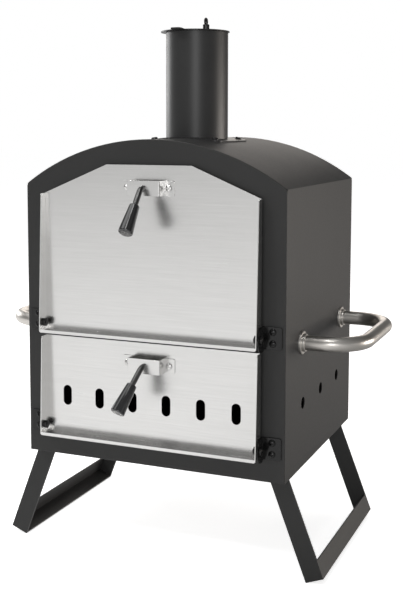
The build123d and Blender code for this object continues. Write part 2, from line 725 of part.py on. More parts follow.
def flue_plate():
    """A square flange rolled to the arch's curve."""
    outer = Circle(ARCH_RADIUS + FLUE_PLATE_THICK)
    inner = Circle(ARCH_RADIUS)
    y_range = (FLUE_SETBACK - FLUE_PLATE / 2, FLUE_SETBACK + FLUE_PLATE / 2)
    rolled = slab_y(Pos(0, ARCH_CENTRE) * (outer - inner), y_range)
    square = Pos(0, FLUE_SETBACK) * RectangleRounded(FLUE_PLATE, FLUE_PLATE, FLUE_PLATE_CORNER)
    rolled &= slab_z(square, (SHOULDER_HEIGHT, ARCH_TOP + 2 * FLUE_PLATE_THICK))
    rolled -= bar_z(FLUE_DIAMETER / 2, (SHOULDER_HEIGHT, FLUE_TOP), 0, FLUE_SETBACK)
    for spot in flue_bolt_locations(ARCH_RADIUS):
        rolled -= spot * Cylinder(SHANK_RADIUS + HOLE_FIT, 6 * FLUE_PLATE_THICK)
    return rolled


def flue_tube():
    """The flue, cut to the arch at its foot."""
    z_range = (SHOULDER_HEIGHT, FLUE_TOP)
    tube = bar_z(FLUE_DIAMETER / 2, z_range, 0, FLUE_SETBACK)
    tube -= bar_z(FLUE_BORE / 2, (z_range[0] - 1, z_range[1] + 1), 0, FLUE_SETBACK)
    return tube - bar_y(ARCH_RADIUS, (0, BODY_DEPTH), 0, ARCH_CENTRE)


def flue_bolts():
    screw = pan_screw(FLUE_PLATE_THICK + SHEET + NUT_HEIGHT + THREAD_END)
    spots = flue_bolt_locations(ARCH_RADIUS + FLUE_PLATE_THICK + RESTING_GAP)
    return [spot * screw for spot in spots]


def flue_nuts():
    nut = hex_nut(SHANK_RADIUS + HOLE_FIT)
    drop = SHEET + NUT_HEIGHT + RESTING_GAP
    return [spot * nut for spot in flue_bolt_locations(ARCH_RADIUS - drop)]


def damper_lug():
    """A tongue welded inside the flue that carries the lid's pivot."""
    wall = bar_z(FLUE_BORE / 2, (FLUE_TOP - LUG_THICK, FLUE_TOP), 0, FLUE_SETBACK)
    y_range = (PIVOT_Y - LUG_LENGTH / 2, FLUE_SETBACK + FLUE_BORE)
    tongue = block((-LUG_WIDTH / 2, LUG_WIDTH / 2), y_range, (FLUE_TOP - LUG_THICK, FLUE_TOP))
    return (wall & tongue) - bar_z(
        DAMPER_BOLT / 2 + HOLE_FIT, (FLUE_TOP - 2 * LUG_THICK, FLUE_TOP + 1), 0, PIVOT_Y
    )


def damper_lid():
    """A flat lid with a bent-up thumb tab, swung a few degrees from square."""
    z_range = (LID_UNDERSIDE, LID_UNDERSIDE + LID_THICK)
    lid = bar_z(LID_DIAMETER / 2, z_range, 0, FLUE_SETBACK)
    front = FLUE_SETBACK - LID_DIAMETER / 2
    tab_face = RectangleRounded(LID_TAB_WIDTH, 2 * LID_TAB_LENGTH, LID_TAB_WIDTH * 0.3)
    tab = extrude(tab_face, amount=LID_THICK)
    tab = Pos(0, front + 2, LID_UNDERSIDE) * Rot(-LID_TAB_LIFT, 0, 0) * tab
    tab -= block((-LID_TAB_WIDTH, LID_TAB_WIDTH), (front + 2, FLUE_SETBACK), (0, FLUE_TOP * 2))
    lid += tab
    lid -= bar_z(DAMPER_BOLT / 2 + RUNNING_FIT, (z_range[0] - 1, z_range[1] + 1), 0, PIVOT_Y)
    pivot = Axis((0, PIVOT_Y, 0), (0, 0, 1))
    return lid.rotate(pivot, -LID_SWUNG)


def damper_bolt():
    """A hexagon bolt up through the lug, the lid and the spacer, into the eye nut."""
    low = FLUE_TOP - LUG_THICK
    high = EYE_NUT_SEAT + EYE_THREAD_DEPTH - MOVING_GAP
    head = extrude(
        RegularPolygon(DAMPER_BOLT_FLATS / 2, 6, major_radius=False), amount=-DAMPER_BOLT_HEAD
    )
    return Pos(0, PIVOT_Y, low) * head + bar_z(DAMPER_BOLT / 2, (low, high), 0, PIVOT_Y)


def damper_spacer():
    low = EYE_NUT_SEAT - DAMPER_SPACER
    sleeve = bar_z(DAMPER_SPACER_DIAMETER / 2, (low, EYE_NUT_SEAT), 0, PIVOT_Y)
    return sleeve - bar_z(DAMPER_BOLT / 2 + HOLE_FIT, (low - 1, EYE_NUT_SEAT + 1), 0, PIVOT_Y)


def eye_nut():
    """A cast nut with a ring on top, for lifting and turning with a hook."""
    hub = Cylinder(
        EYE_HUB / 2, EYE_HUB_HEIGHT, align=(Align.CENTER, Align.CENTER, Align.MIN)
    )
    hub = fillet(hub.edges().group_by(Axis.Z)[-1], EYE_HUB_ROUND)
    hub = fillet(hub.edges().group_by(Axis.Z)[0], EYE_HUB_ROUND)
    ring_radius = (EYE_RING - EYE_WIRE) / 2
    ring = Torus(ring_radius, EYE_WIRE / 2)
    nut = hub + Pos(0, 0, EYE_HUB_HEIGHT + ring_radius) * Rot(90, 0, 0) * ring
    nut -= bar_z(DAMPER_BOLT / 2 + HOLE_FIT, (-1, EYE_THREAD_DEPTH), 0, 0)
    return Pos(0, PIVOT_Y, EYE_NUT_SEAT) * Rot(0, 0, EYE_TURN) * nut


def leg():
    """A right leg: two strips down to an angle-section foot, hung on its pivot."""
    half = LEG_STRIP / 2
    front, back = LEG_FRONT, LEG_FRONT + LEG_SPAN
    strip_face = Pos(0, -LEG_LENGTH / 2) * Rectangle(LEG_STRIP, LEG_LENGTH) + Circle(half)
    strip_face -= Circle(PIVOT_BOLT / 2 + RUNNING_FIT)
    frame = slab_y(strip_face, (front, front + LEG_THICK))
    frame += slab_y(strip_face, (back - LEG_THICK, back))
    frame += block((-half, half), (front, back), (-LEG_LENGTH, -LEG_LENGTH + LEG_THICK))
    frame += block(
        (half - LEG_THICK, half), (front, back), (-LEG_LENGTH, -LEG_LENGTH + LEG_FLANGE)
    )
    return Pos(LEG_PIVOT_X, 0, LEG_PIVOT_HEIGHT) * Rot(0, -LEG_SPLAY, 0) * frame


def leg_ear_ranges():
    """Y ranges of the two bracket ears, each just inside a leg strip."""
    front = LEG_FRONT + LEG_THICK + MOVING_GAP
    back = LEG_FRONT + LEG_SPAN - LEG_THICK - MOVING_GAP
    return ((front, front + LEG_BRACKET_THICK), (back - LEG_BRACKET_THICK, back))


def leg_brackets():
    """Angle brackets under the floor that carry a right leg's pivots."""
    half = LEG_BRACKET_WIDTH / 2
    drop = FLOOR_UNDERSIDE - LEG_PIVOT_HEIGHT
    ear_face = Circle(half * 0.8) + Pos(0, drop / 2) * Rectangle(LEG_BRACKET_WIDTH * 0.8, drop)
    ear_face -= Circle(PIVOT_BOLT / 2 + HOLE_FIT)
    ear_face = Pos(LEG_PIVOT_X, LEG_PIVOT_HEIGHT) * ear_face
    brackets = []
    for (low, high), inward in zip(leg_ear_ranges(), (1, -1)):
        foot_y = (low, low + LEG_BRACKET_FOOT) if inward > 0 else (high - LEG_BRACKET_FOOT, high)
        foot = block(
            (LEG_PIVOT_X - half, LEG_PIVOT_X + half),
            foot_y,
            (FLOOR_UNDERSIDE - LEG_BRACKET_THICK, FLOOR_UNDERSIDE),
        )
        brackets.append(slab_y(ear_face, (low, high)) + foot)
    return brackets


def leg_bolts():
    """Button-head bolts whose shanks are the pivots of a right leg."""
    bolts = []
    for (low, high), inward in zip(leg_ear_ranges(), (1, -1)):
        outer = low - MOVING_GAP - LEG_THICK - MOVING_GAP
        inner = high + NUT_HEIGHT + THREAD_END
        if inward < 0:
            outer = high + MOVING_GAP + LEG_THICK + MOVING_GAP
            inner = low - NUT_HEIGHT - THREAD_END
        head = Rot(inward * 90, 0, 0) * button_head()
        head = Pos(LEG_PIVOT_X, outer, LEG_PIVOT_HEIGHT) * head
        shank = bar_y(PIVOT_BOLT / 2, sorted((outer, inner)), LEG_PIVOT_X, LEG_PIVOT_HEIGHT)
        bolts.append(head + shank)
    return bolts


def leg_nuts():
    nut = hex_nut(PIVOT_BOLT / 2 + HOLE_FIT)
    (_, front_face), (back_face, _) = leg_ear_ranges()
    return [
        Pos(LEG_PIVOT_X, front_face, LEG_PIVOT_HEIGHT) * Rot(-90, 0, 0) * nut,
        Pos(LEG_PIVOT_X, back_face, LEG_PIVOT_HEIGHT) * Rot(90, 0, 0) * nut,
    ]


def shelf_rail(top, width):
    """An angle rail welded to the side panel, with its shelf at the given height."""
    y_range = (END_PLATE + RAIL_END, BACK_INSIDE - RAIL_END)
    shelf = block((INNER_HALF - width, INNER_HALF), y_range, (top - SHEET, top))
    leaf = block((INNER_HALF - SHEET, INNER_HALF), y_range, (top - SHEET, top + RAIL_LEAF))
    return shelf + leaf


def rack_centre():
    return (END_PLATE + BACK_INSIDE) / 2


def stone_rack():
    """A wire rack: a rounded frame with bars that run from front to back."""
    half_x = RACK_WIDTH / 2 - RACK_FRAME_WIRE / 2
    half_y = RACK_DEPTH / 2 - RACK_FRAME_WIRE / 2
    middle = rack_centre()
    level = STONE_RAIL_TOP + RACK_FRAME_WIRE / 2
    outline = RectangleRounded(2 * half_x, 2 * half_y, RACK_CORNER)
    path = Pos(0, middle, level) * outline.wire()
    start = path @ 0
    section = Plane(origin=start, z_dir=path % 0) * Circle(RACK_FRAME_WIRE / 2)
    rack = sweep(section, path=path)
    bar_level = STONE_RAIL_TOP + RACK_FRAME_WIRE - RACK_BAR_WIRE / 2
    pitch = 2 * half_x / (RACK_BARS + 1)
    for i in range(1, RACK_BARS + 1):
        y_range = (middle - half_y, middle + half_y)
        rack += bar_y(RACK_BAR_WIRE / 2, y_range, -half_x + i * pitch, bar_level)
    return rack


def pizza_stone():
    low = STONE_RAIL_TOP + RACK_FRAME_WIRE + RESTING_GAP
    stone = bar_z(STONE_DIAMETER / 2, (low, low + STONE_THICK), 0, rack_centre())
    return chamfer(stone.edges().filter_by(GeomType.CIRCLE), STONE_BEVEL)


def charcoal_tray():
    """A slotted pan that hangs by its rims on two rails above the air vents."""
    middle = rack_centre()
    top = TRAY_RAIL_TOP + TRAY_SHEET
    low = top - TRAY_DEPTH
    half_x, half_y = TRAY_WIDTH / 2, TRAY_LENGTH / 2
    y_range = (middle - half_y, middle + half_y)
    pan = block((-half_x, half_x), y_range, (low, top))
    pan += block((-half_x - TRAY_RIM, half_x + TRAY_RIM), y_range, (top - TRAY_SHEET, top))
    pan -= block(
        (-half_x + TRAY_SHEET, half_x - TRAY_SHEET),
        (y_range[0] + TRAY_SHEET, y_range[1] - TRAY_SHEET),
        (low + TRAY_SHEET, top + 1),
    )
    slot = Rot(0, 0, 90) * SlotOverall(TRAY_SLOT_LENGTH, TRAY_SLOT_WIDTH)
    pitch = TRAY_WIDTH / (TRAY_SLOTS + 1)
    for i in range(1, TRAY_SLOTS + 1):
        for side in (-1, 1):
            place = Pos(-half_x + i * pitch, middle + side * TRAY_LENGTH / 4)
            pan -= slab_z(place * slot, (low - 1, low + 2 * TRAY_SHEET))
    return pan


def ash_pan():
    """A shallow pan on the floor that catches the ash, with a lip to pull it by."""
    middle = rack_centre()
    outline = RectangleRounded(ASH_WIDTH, ASH_LENGTH, ASH_CORNER)
    inner = RectangleRounded(
        ASH_WIDTH - 2 * TRAY_SHEET, ASH_LENGTH - 2 * TRAY_SHEET, ASH_CORNER - TRAY_SHEET
    )
    pan = slab_z(outline, (0, ASH_DEPTH)) - slab_z(inner, (TRAY_SHEET, ASH_DEPTH + 1))
    lip = Pos(0, -ASH_LENGTH / 2 - ASH_LIP / 2 + TRAY_SHEET) * Rectangle(ASH_WIDTH / 3, ASH_LIP)
    pan += slab_z(lip, (ASH_DEPTH - TRAY_SHEET, ASH_DEPTH))
    return Pos(0, middle, FLOOR_HEIGHT + RESTING_GAP) * pan


def both_sides(shape):
    """A right-hand piece or list of pieces, and its left-hand copy."""
    if isinstance(shape, list):
        return shape, [mirrored(s) for s in shape]
    return shape, mirrored(shape)


def build_nodes():
    """Every sub-part by name.  A list is a group of like pieces in one node."""
    nodes = {
        "front_frame": front_frame(),
        "back_panel": back_panel(),
        "roof_panel": roof_panel(),
        "base_panel": base_panel(),
        "hinge_bracket_screws": hinge_bracket_screws(),
        "flue_plate": flue_plate(),
        "flue_tube": flue_tube(),
        "flue_bolts": flue_bolts(),
        "flue_nuts": flue_nuts(),
        "damper_lug": damper_lug(),
        "damper_lid": damper_lid(),
        "damper_bolt": damper_bolt(),
        "damper_spacer": damper_spacer(),
        "damper_eye_nut": eye_nut(),
        "stone_rack": stone_rack(),
        "pizza_stone": pizza_stone(),
        "charcoal_tray": charcoal_tray(),
        "ash_pan": ash_pan(),
    }
    right_hand = {
        "side_panel": side_panel(),
        "upper_hinge_bracket": hinge_bracket(UPPER_HINGE_Z),
        "lower_hinge_bracket": hinge_bracket(LOWER_HINGE_Z),
        "side_handle": side_handle(),
        "handle_roses": handle_roses(),
        "handle_bolts": handle_bolts(),
        "leg": leg(),
        "leg_brackets": leg_brackets(),
        "leg_bolts": leg_bolts(),
        "leg_nuts": leg_nuts(),
        "stone_rail": shelf_rail(STONE_RAIL_TOP, STONE_RAIL_WIDTH),
        "tray_rail": shelf_rail(TRAY_RAIL_TOP, TRAY_RAIL_WIDTH),
    }
    for name, shape in right_hand.items():
        nodes[name + "_right"], nodes[name + "_left"] = both_sides(shape)
    doors = {
        "upper": (upper_door(), UPPER_HINGE_Z, UPPER_LATCH_Z, UPPER_DOOR_PEAK, UPPER_LATCH_REST),
        "lower": (lower_door(), LOWER_HINGE_Z, LOWER_LATCH_Z, LOWER_DOOR_TOP, LOWER_LATCH_REST),
    }
    for name, (door, hinge_z, latch_z, door_top, rest) in doors.items():
        nodes[name + "_door"] = door
        nodes[name + "_hinge_bolts"] = list(both_sides(hinge_bolt(hinge_z)))
        nodes[name + "_hinge_nuts"] = list(both_sides(hinge_nut(hinge_z)))
        nodes[name + "_latch_bracket"] = latch_bracket(latch_z)
        nodes[name + "_latch_screws"] = latch_bracket_screws(latch_z)
        spindle = Axis((LATCH_OFFSET, 0, latch_z), (0, 1, 0))
        latch_set = {
            "rod": latch_rod(latch_z),
            "grip": latch_grip(latch_z),
            "finger": latch_finger(latch_z, door_top - DOOR_LAP),
            "nut": latch_nut(latch_z),
        }
        for piece, solid in latch_set.items():
            nodes[name + "_latch_" + piece] = solid.rotate(spindle, rest)
    return nodes


def as_one(shape):
    """A node's shape as one compound of its solids."""
    pieces = shape if isinstance(shape, list) else [shape]
    solids = [solid for piece in pieces for solid in piece.solids()]
    return Compound(children=solids)


def shift_to_floor(nodes):
    """The move that puts the origin on the floor, under the middle of the oven's box."""
    boxes = [shape.bounding_box() for shape in nodes.values()]
    low_y = min(box.min.Y for box in boxes)
    high_y = max(box.max.Y for box in boxes)
    low_z = min(box.min.Z for box in boxes)
    return Vector(0, -(low_y + high_y) / 2, -low_z)


def main():
    nodes = {name: as_one(shape) for name, shape in build_nodes().items()}
    shift = shift_to_floor(nodes)
    os.makedirs("parts", exist_ok=True)
    for name, shape in nodes.items():
        export_step(Pos(*shift) * shape, f"parts/{name}.step")
    print("moved by", shift)
    print("nodes", len(nodes))


if __name__ == "__main__":
    main()
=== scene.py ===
# %% [markdown]
# A charcoal pizza oven for the garden, in Blender.  The real one is an arched box of
# powder-coated steel sheet with two stainless doors, a flue with a swinging lid, bent
# tube handles and folding legs.  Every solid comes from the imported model, in metres,
# and nothing is moved.  This file gives the pieces their finishes, softens the edges
# of the sheet metal, and rebuilds the round and repeated pieces more finely.

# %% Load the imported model
import bpy
import bmesh
import json
import math
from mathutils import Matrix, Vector


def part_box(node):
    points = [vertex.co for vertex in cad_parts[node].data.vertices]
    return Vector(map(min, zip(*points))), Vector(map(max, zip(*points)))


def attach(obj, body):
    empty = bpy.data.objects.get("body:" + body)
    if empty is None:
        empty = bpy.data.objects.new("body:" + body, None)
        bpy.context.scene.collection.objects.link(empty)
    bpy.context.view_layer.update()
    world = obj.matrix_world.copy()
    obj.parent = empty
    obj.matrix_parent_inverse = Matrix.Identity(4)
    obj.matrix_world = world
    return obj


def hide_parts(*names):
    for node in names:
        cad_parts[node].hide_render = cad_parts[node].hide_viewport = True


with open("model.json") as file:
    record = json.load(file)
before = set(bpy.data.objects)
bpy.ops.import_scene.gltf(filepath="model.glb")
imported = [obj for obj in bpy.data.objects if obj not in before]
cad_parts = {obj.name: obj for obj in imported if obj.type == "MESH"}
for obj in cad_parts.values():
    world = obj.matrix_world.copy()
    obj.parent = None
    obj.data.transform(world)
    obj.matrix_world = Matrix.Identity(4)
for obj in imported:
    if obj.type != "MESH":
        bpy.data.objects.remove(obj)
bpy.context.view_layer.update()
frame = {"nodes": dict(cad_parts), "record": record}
nodes = frame["nodes"]
MM = 0.001
MERGE = 1e-6

# %% [markdown]
# Each piece that this file makes must ride on the same body as the solid it stands
# for, and take its finish from the same slot.  The record lists both, so two small
# tables answer those questions for any node.

# %% Which body and which finish each node has
body_of_node = {}
for body, members in frame["record"]["behaviour"]["bodies"].items():
    for member in members:
        body_of_node[member] = body
slot_of_node = {part["node"]: part["material_slot"] for part in frame["record"]["subparts"]}


def middle(node):
    """The centre of a node's box."""
    low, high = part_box(node)
    return (low + high) / 2


def islands(node):
    """The boxes of the separate solids in a node, as (lowest corner, highest corner)."""
    mesh = bmesh.new()
    mesh.from_mesh(nodes[node].data)
    bmesh.ops.remove_doubles(mesh, verts=mesh.verts, dist=MERGE)
    unseen = set(mesh.verts)
    boxes = []
    while unseen:
        stack = [unseen.pop()]
        points = []
        while stack:
            vert = stack.pop()
            points.append(vert.co.copy())
            for edge in vert.link_edges:
                other = edge.other_vert(vert)
                if other in unseen:
                    unseen.remove(other)
                    stack.append(other)
        low = Vector([min(p[i] for p in points) for i in range(3)])
        high = Vector([max(p[i] for p in points) for i in range(3)])
        boxes.append((low, high))
    mesh.free()
    return sorted(boxes, key=lambda box: tuple(round(v, 5) for v in box[0]))


# %% [markdown]
# Materials and Geometry Nodes trees are both graphs of nodes.  Adding nodes one by one
# makes long code, so one small class wraps a socket.  Sums on it add Math nodes, and
# every other node comes from one method that takes the node's type, its settings and
# what goes into its sockets.

# %% Wrap a graph of nodes and its sockets
class Value:
    """A node's output.  Arithmetic on it adds Math nodes to the same graph."""

    def __init__(self, graph, node, output):
        self.graph = graph
        self.node = node
        self.socket = node.outputs[output]

    def other(self, output):
        """Another output of the same node."""
        return Value(self.graph, self.node, output)

    def __add__(self, other):
        return self.graph.maths("ADD", self, other)

    __radd__ = __add__

    def __mul__(self, other):
        return self.graph.maths("MULTIPLY", self, other)

    def __sub__(self, other):
        return self.graph.maths("SUBTRACT", self, other)

    def __rsub__(self, other):
        return self.graph.maths("SUBTRACT", other, self)

    def __truediv__(self, other):
        return self.graph.maths("DIVIDE", self, other)


class Graph:
    """A node tree that is built by calling add."""

    def __init__(self, tree):
        self.tree = tree
        self.tree.nodes.clear()

    def add(self, kind, settings=None, inputs=None, output=0):
        node = self.tree.nodes.new(kind)
        for name, value in (settings or {}).items():
            if name == "stops":
                self.set_stops(node.color_ramp, value)
            else:
                setattr(node, name, value)
        for name, value in (inputs or {}).items():
            socket = node.inputs[name]
            if isinstance(value, Value):
                self.tree.links.new(value.socket, socket)
            else:
                socket.default_value = value
        if not node.outputs:
            return node
        return Value(self, node, output)

    def gather(self, values, target, name):
        """Links several values to one socket that takes them all."""
        for value in values:
            self.tree.links.new(value.socket, target.node.inputs[name])

    def set_stops(self, ramp, stops):
        """Sets a colour ramp's stops, each a (place, grey); a new ramp already holds two."""
        for element, (place, grey) in zip(ramp.elements, stops):
            element.position = place
            element.color = (grey, grey, grey, 1)

    def maths(self, operation, first, second):
        return self.add("ShaderNodeMath", {"operation": operation}, {0: first, 1: second})

    def blend(self, factor, first, second):
        """A colour between two colours."""
        return self.add(
            "ShaderNodeMix", {"data_type": "RGBA"}, {0: factor, 6: first, 7: second}, output=2
        )

    def noise(self, per_metre, detail=3.0, rough=0.5):
        """Noise on Object coordinates, in features per metre: one number, or one for each axis."""
        scale = per_metre if isinstance(per_metre, tuple) else (per_metre,) * 3
        place = self.add("ShaderNodeTexCoord", output="Object")
        scaled = self.add("ShaderNodeVectorMath", {"operation": "MULTIPLY"}, {0: place, 1: scale})
        inputs = {"Vector": scaled, "Scale": 1.0, "Detail": detail, "Roughness": rough}
        return self.add("ShaderNodeTexNoise", None, inputs)

    def ramp(self, factor, stops):
        return self.add("ShaderNodeValToRGB", {"stops": stops}, {"Fac": factor})

    def bump(self, height, depth, strength):
        """A bump, whose depth is in metres."""
        inputs = {"Height": height, "Distance": depth, "Strength": strength}
        return self.add("ShaderNodeBump", None, inputs)


# %% [markdown]
# A finish is one Principled shader.  Plain numbers go straight onto its sockets, and
# only colour, roughness and the bump change over a surface, because those survive
# when the model leaves Blender.

# %% Start a finish and feed it
finishes = {}


def socket_name(word):
    """The name on a shader's socket, so that base_color gives Base Color."""
    return word.replace("_", " ").title().replace("Ior", "IOR")


def start_finish(slot, **numbers):
    """A new finish for a slot, with plain numbers on its shader's sockets."""
    material = bpy.data.materials.new(slot + "_finish")
    material.use_nodes = True
    graph = Graph(material.node_tree)
    shader = graph.add("ShaderNodeBsdfPrincipled")
    for word, value in numbers.items():
        shader.node.inputs[socket_name(word)].default_value = value
    graph.add("ShaderNodeOutputMaterial", None, {"Surface": shader})
    finishes[slot] = material
    return graph, shader.node


def feed(graph, shader, **links):
    """Links values to the shader's sockets by name."""
    for word, value in links.items():
        graph.tree.links.new(value.socket, shader.inputs[socket_name(word)])


# %% [markdown]
# Powder coat is plastic dust baked onto the steel.  It is never quite flat: it has an
# orange-peel texture about a millimetre across, and large soft patches where the coat
# is thicker.  Two noises, one fine and one broad, give both.  The broad one also moves
# the roughness a little, which is what makes a matte black panel look like metal.

# %% Charcoal powder coat
COAT_DARK = (0.013, 0.013, 0.0128, 1)
COAT_LIGHT = (0.023, 0.0226, 0.022, 1)
COAT_ROUGHNESS = 0.44
PEEL_DEPTH = 0.06 * MM
graph, shader = start_finish("charcoal_paint", metallic=0.0, specular_ior_level=0.42)
patches = graph.noise(9, detail=4)
peel = graph.noise(950, detail=2)
dust = graph.noise(260, detail=2)
colour = graph.blend(patches, COAT_DARK, COAT_LIGHT)
roughness = COAT_ROUGHNESS + patches * 0.08 + dust * 0.08
normal = graph.bump(peel, PEEL_DEPTH, strength=0.5)
feed(graph, shader, base_color=colour, roughness=roughness, normal=normal)
print("powder coat, least roughness", COAT_ROUGHNESS)

# %% [markdown]
# The flue has a heat-proof satin enamel.  It is smoother than the powder coat, so the
# lamp at its left draws a bright band with a fairly sharp edge down the tube.

# %% Satin enamel of the flue
ENAMEL_DARK = (0.010, 0.010, 0.010, 1)
ENAMEL_LIGHT = (0.018, 0.018, 0.018, 1)
ENAMEL_ROUGHNESS = 0.35
ENAMEL_DEPTH = 0.04 * MM
graph, shader = start_finish("flue_paint", metallic=0.0)
patches = graph.noise((14, 14, 30), detail=3)
skin = graph.noise(800, detail=2)
colour = graph.blend(patches, ENAMEL_DARK, ENAMEL_LIGHT)
roughness = ENAMEL_ROUGHNESS + patches * 0.06 + skin * 0.05
normal = graph.bump(skin, ENAMEL_DEPTH, strength=0.4)
feed(graph, shader, base_color=colour, roughness=roughness, normal=normal)
print("flue enamel, least roughness", ENAMEL_ROUGHNESS)

# %% [markdown]
# The hinge brackets, screws and nuts are dipped in glossy black paint.  It is smoother
# than the coat on the body and shows small sharp highlights.

# %% Glossy black fittings
FITTING_DARK = (0.004, 0.004, 0.004, 1)
FITTING_LIGHT = (0.009, 0.009, 0.009, 1)
FITTING_ROUGHNESS = 0.10
FITTING_DEPTH = 0.05 * MM
graph, shader = start_finish("black_fittings", metallic=0.0, specular_ior_level=0.36)
patches = graph.noise(120, detail=3)
colour = graph.blend(patches, FITTING_DARK, FITTING_LIGHT)
roughness = FITTING_ROUGHNESS + patches * 0.12
normal = graph.bump(patches, FITTING_DEPTH, strength=0.4)
feed(graph, shader, base_color=colour, roughness=roughness, normal=normal)
print("fittings, least roughness", FITTING_ROUGHNESS)

# %% [markdown]
# The doors are stainless sheet, brushed from side to side.  Brushing leaves fine
# scratches that are long in one direction and very thin in the other, so the noise has
# few features in a metre along X and very many along Z.  Two sets of scratches at
# different widths stop the pattern looking ruled.  A slow noise is the slight unevenness
# of thin sheet, and cloudy patches are where a hand has wiped it.

# %% Brushed door steel
STEEL_DARK = (0.61, 0.605, 0.595, 1)
STEEL_LIGHT = (0.76, 0.755, 0.745, 1)
STEEL_ROUGHNESS = 0.16
STEEL_WAVE = 1.0 * MM
FINE_SHARE = 0.8
graph, shader = start_finish("door_steel", metallic=1.0)
fine_lines = graph.noise((14, 1900, 1900), detail=3, rough=0.6)
wide_lines = graph.noise((5, 420, 420), detail=3, rough=0.6)
clouds = graph.noise(11, detail=5, rough=0.6)
sheet_wave = graph.noise(7, detail=1)
lines = fine_lines * FINE_SHARE + wide_lines * (1 - FINE_SHARE)
clear_lines = graph.ramp(lines, [(0.2, 0.0), (0.8, 1.0)])
colour = graph.blend(clear_lines, STEEL_DARK, STEEL_LIGHT)
roughness = STEEL_ROUGHNESS + lines * 0.10 + clouds * 0.08
height = lines * 0.010 + sheet_wave * 0.8
normal = graph.bump(height, STEEL_WAVE, strength=0.22)
feed(graph, shader, base_color=colour, roughness=roughness, normal=normal)
print("door steel, least roughness", STEEL_ROUGHNESS)

# %% [markdown]
# The side handles are satin round tube of a warmer steel.  Polishing runs along the tube
# and round its bends, so a tiny even noise is used instead of lines with one direction.

# %% Satin tube for the handles
TUBE_DARK = (0.56, 0.535, 0.50, 1)
TUBE_LIGHT = (0.66, 0.635, 0.60, 1)
TUBE_ROUGHNESS = 0.30
TUBE_DEPTH = 0.01 * MM
graph, shader = start_finish("handle_steel", metallic=1.0)
grain = graph.noise(700, detail=3)
clouds = graph.noise(30, detail=3)
colour = graph.blend(clouds, TUBE_DARK, TUBE_LIGHT)
roughness = TUBE_ROUGHNESS + grain * 0.05 + clouds * 0.06
normal = graph.bump(grain, TUBE_DEPTH, strength=0.3)
feed(graph, shader, base_color=colour, roughness=roughness, normal=normal)
print("handle steel, least roughness", TUBE_ROUGHNESS)

# %% [markdown]
# The latch rods are blackened steel: dark, but still metal, with worn lighter specks.

# %% Blackened rod
ROD_DARK = (0.07, 0.07, 0.07, 1)
ROD_WORN = (0.17, 0.168, 0.165, 1)
ROD_ROUGHNESS = 0.24
ROD_DEPTH = 0.04 * MM
graph, shader = start_finish("rod_steel", metallic=1.0)
wear = graph.noise(160, detail=4)
colour = graph.blend(wear, ROD_DARK, ROD_WORN)
roughness = ROD_ROUGHNESS + wear * 0.14
normal = graph.bump(wear, ROD_DEPTH, strength=0.4)
feed(graph, shader, base_color=colour, roughness=roughness, normal=normal)
print("rod steel, least roughness", ROD_ROUGHNESS)

# %% [markdown]
# The grips are moulded in glossy black plastic.  Moulded plastic has a very fine skin
# texture and a clear reflection.

# %% Moulded black grip
PLASTIC_DARK = (0.009, 0.009, 0.010, 1)
PLASTIC_LIGHT = (0.014, 0.014, 0.015, 1)
PLASTIC_ROUGHNESS = 0.10
PLASTIC_DEPTH = 0.03 * MM
gloss = {"specular_ior_level": 0.6, "coat_weight": 0.6, "coat_roughness": 0.03}
graph, shader = start_finish("grip_plastic", metallic=0.0, **gloss)
skin = graph.noise(900, detail=2)
colour = graph.blend(skin, PLASTIC_DARK, PLASTIC_LIGHT)
roughness = PLASTIC_ROUGHNESS + skin * 0.06
normal = graph.bump(skin, PLASTIC_DEPTH, strength=0.3)
feed(graph, shader, base_color=colour, roughness=roughness, normal=normal)
print("grip plastic, least roughness", PLASTIC_ROUGHNESS)

# %% [markdown]
# The stone inside is fired clay with sand in it, and shows when the upper door is down.
# Its colour comes from broad blotches and fine sand in equal parts, and only the sand
# is deep enough to feel, so it alone makes the bump.

# %% Baking stone
CLAY_DARK = (0.50, 0.38, 0.25, 1)
CLAY_LIGHT = (0.74, 0.62, 0.46, 1)
CLAY_ROUGHNESS = 0.82
SAND_DEPTH = 0.4 * MM
graph, shader = start_finish("baking_stone", metallic=0.0)
sand = graph.noise(520, detail=4, rough=0.65)
blotches = graph.noise(24, detail=4)
colour = graph.blend(blotches * 0.5 + sand * 0.5, CLAY_DARK, CLAY_LIGHT)
roughness = CLAY_ROUGHNESS + sand * 0.14
normal = graph.bump(sand, SAND_DEPTH, strength=0.6)
feed(graph, shader, base_color=colour, roughness=roughness, normal=normal)
print("baking stone, least roughness", CLAY_ROUGHNESS)

# %% [markdown]
# The rack under the stone is bright drawn wire.  It is too thin for a bump to show, so
# one fine noise only moves its colour and roughness.

# %% Bright wire
WIRE_DARK = (0.62, 0.62, 0.62, 1)
WIRE_LIGHT = (0.78, 0.78, 0.78, 1)
WIRE_ROUGHNESS = 0.12
graph, shader = start_finish("rack_chrome", metallic=1.0)
grain = graph.noise(300, detail=2)
colour = graph.blend(grain, WIRE_DARK, WIRE_LIGHT)
feed(graph, shader, base_color=colour, roughness=WIRE_ROUGHNESS + grain * 0.12)
print("bright wire, least roughness", WIRE_ROUGHNESS)

# %% [markdown]
# The tray and the pan are black enamel, glass that is fused to the sheet.  Enamel has
# small flecks, so a steep ramp keeps only the highest spots of a noise and makes them
# grey.  A thin clear coat over it gives the wet shine.

# %% Black enamel of the trays
TRAY_BLACK = (0.014, 0.014, 0.015, 1)
TRAY_FLECK = (0.10, 0.10, 0.10, 1)
TRAY_ROUGHNESS = 0.26
graph, shader = start_finish("tray_enamel", metallic=0.0, coat_weight=0.3, coat_roughness=0.1)
flecks = graph.noise(700, detail=1)
spots = graph.ramp(flecks, [(0.66, 0.0), (0.72, 1.0)])
colour = graph.blend(spots, TRAY_BLACK, TRAY_FLECK)
feed(graph, shader, base_color=colour, roughness=TRAY_ROUGHNESS + flecks * 0.12)
print("finishes", sorted(finishes))

# %% [markdown]
# The solids that are right as they are only need their finish.

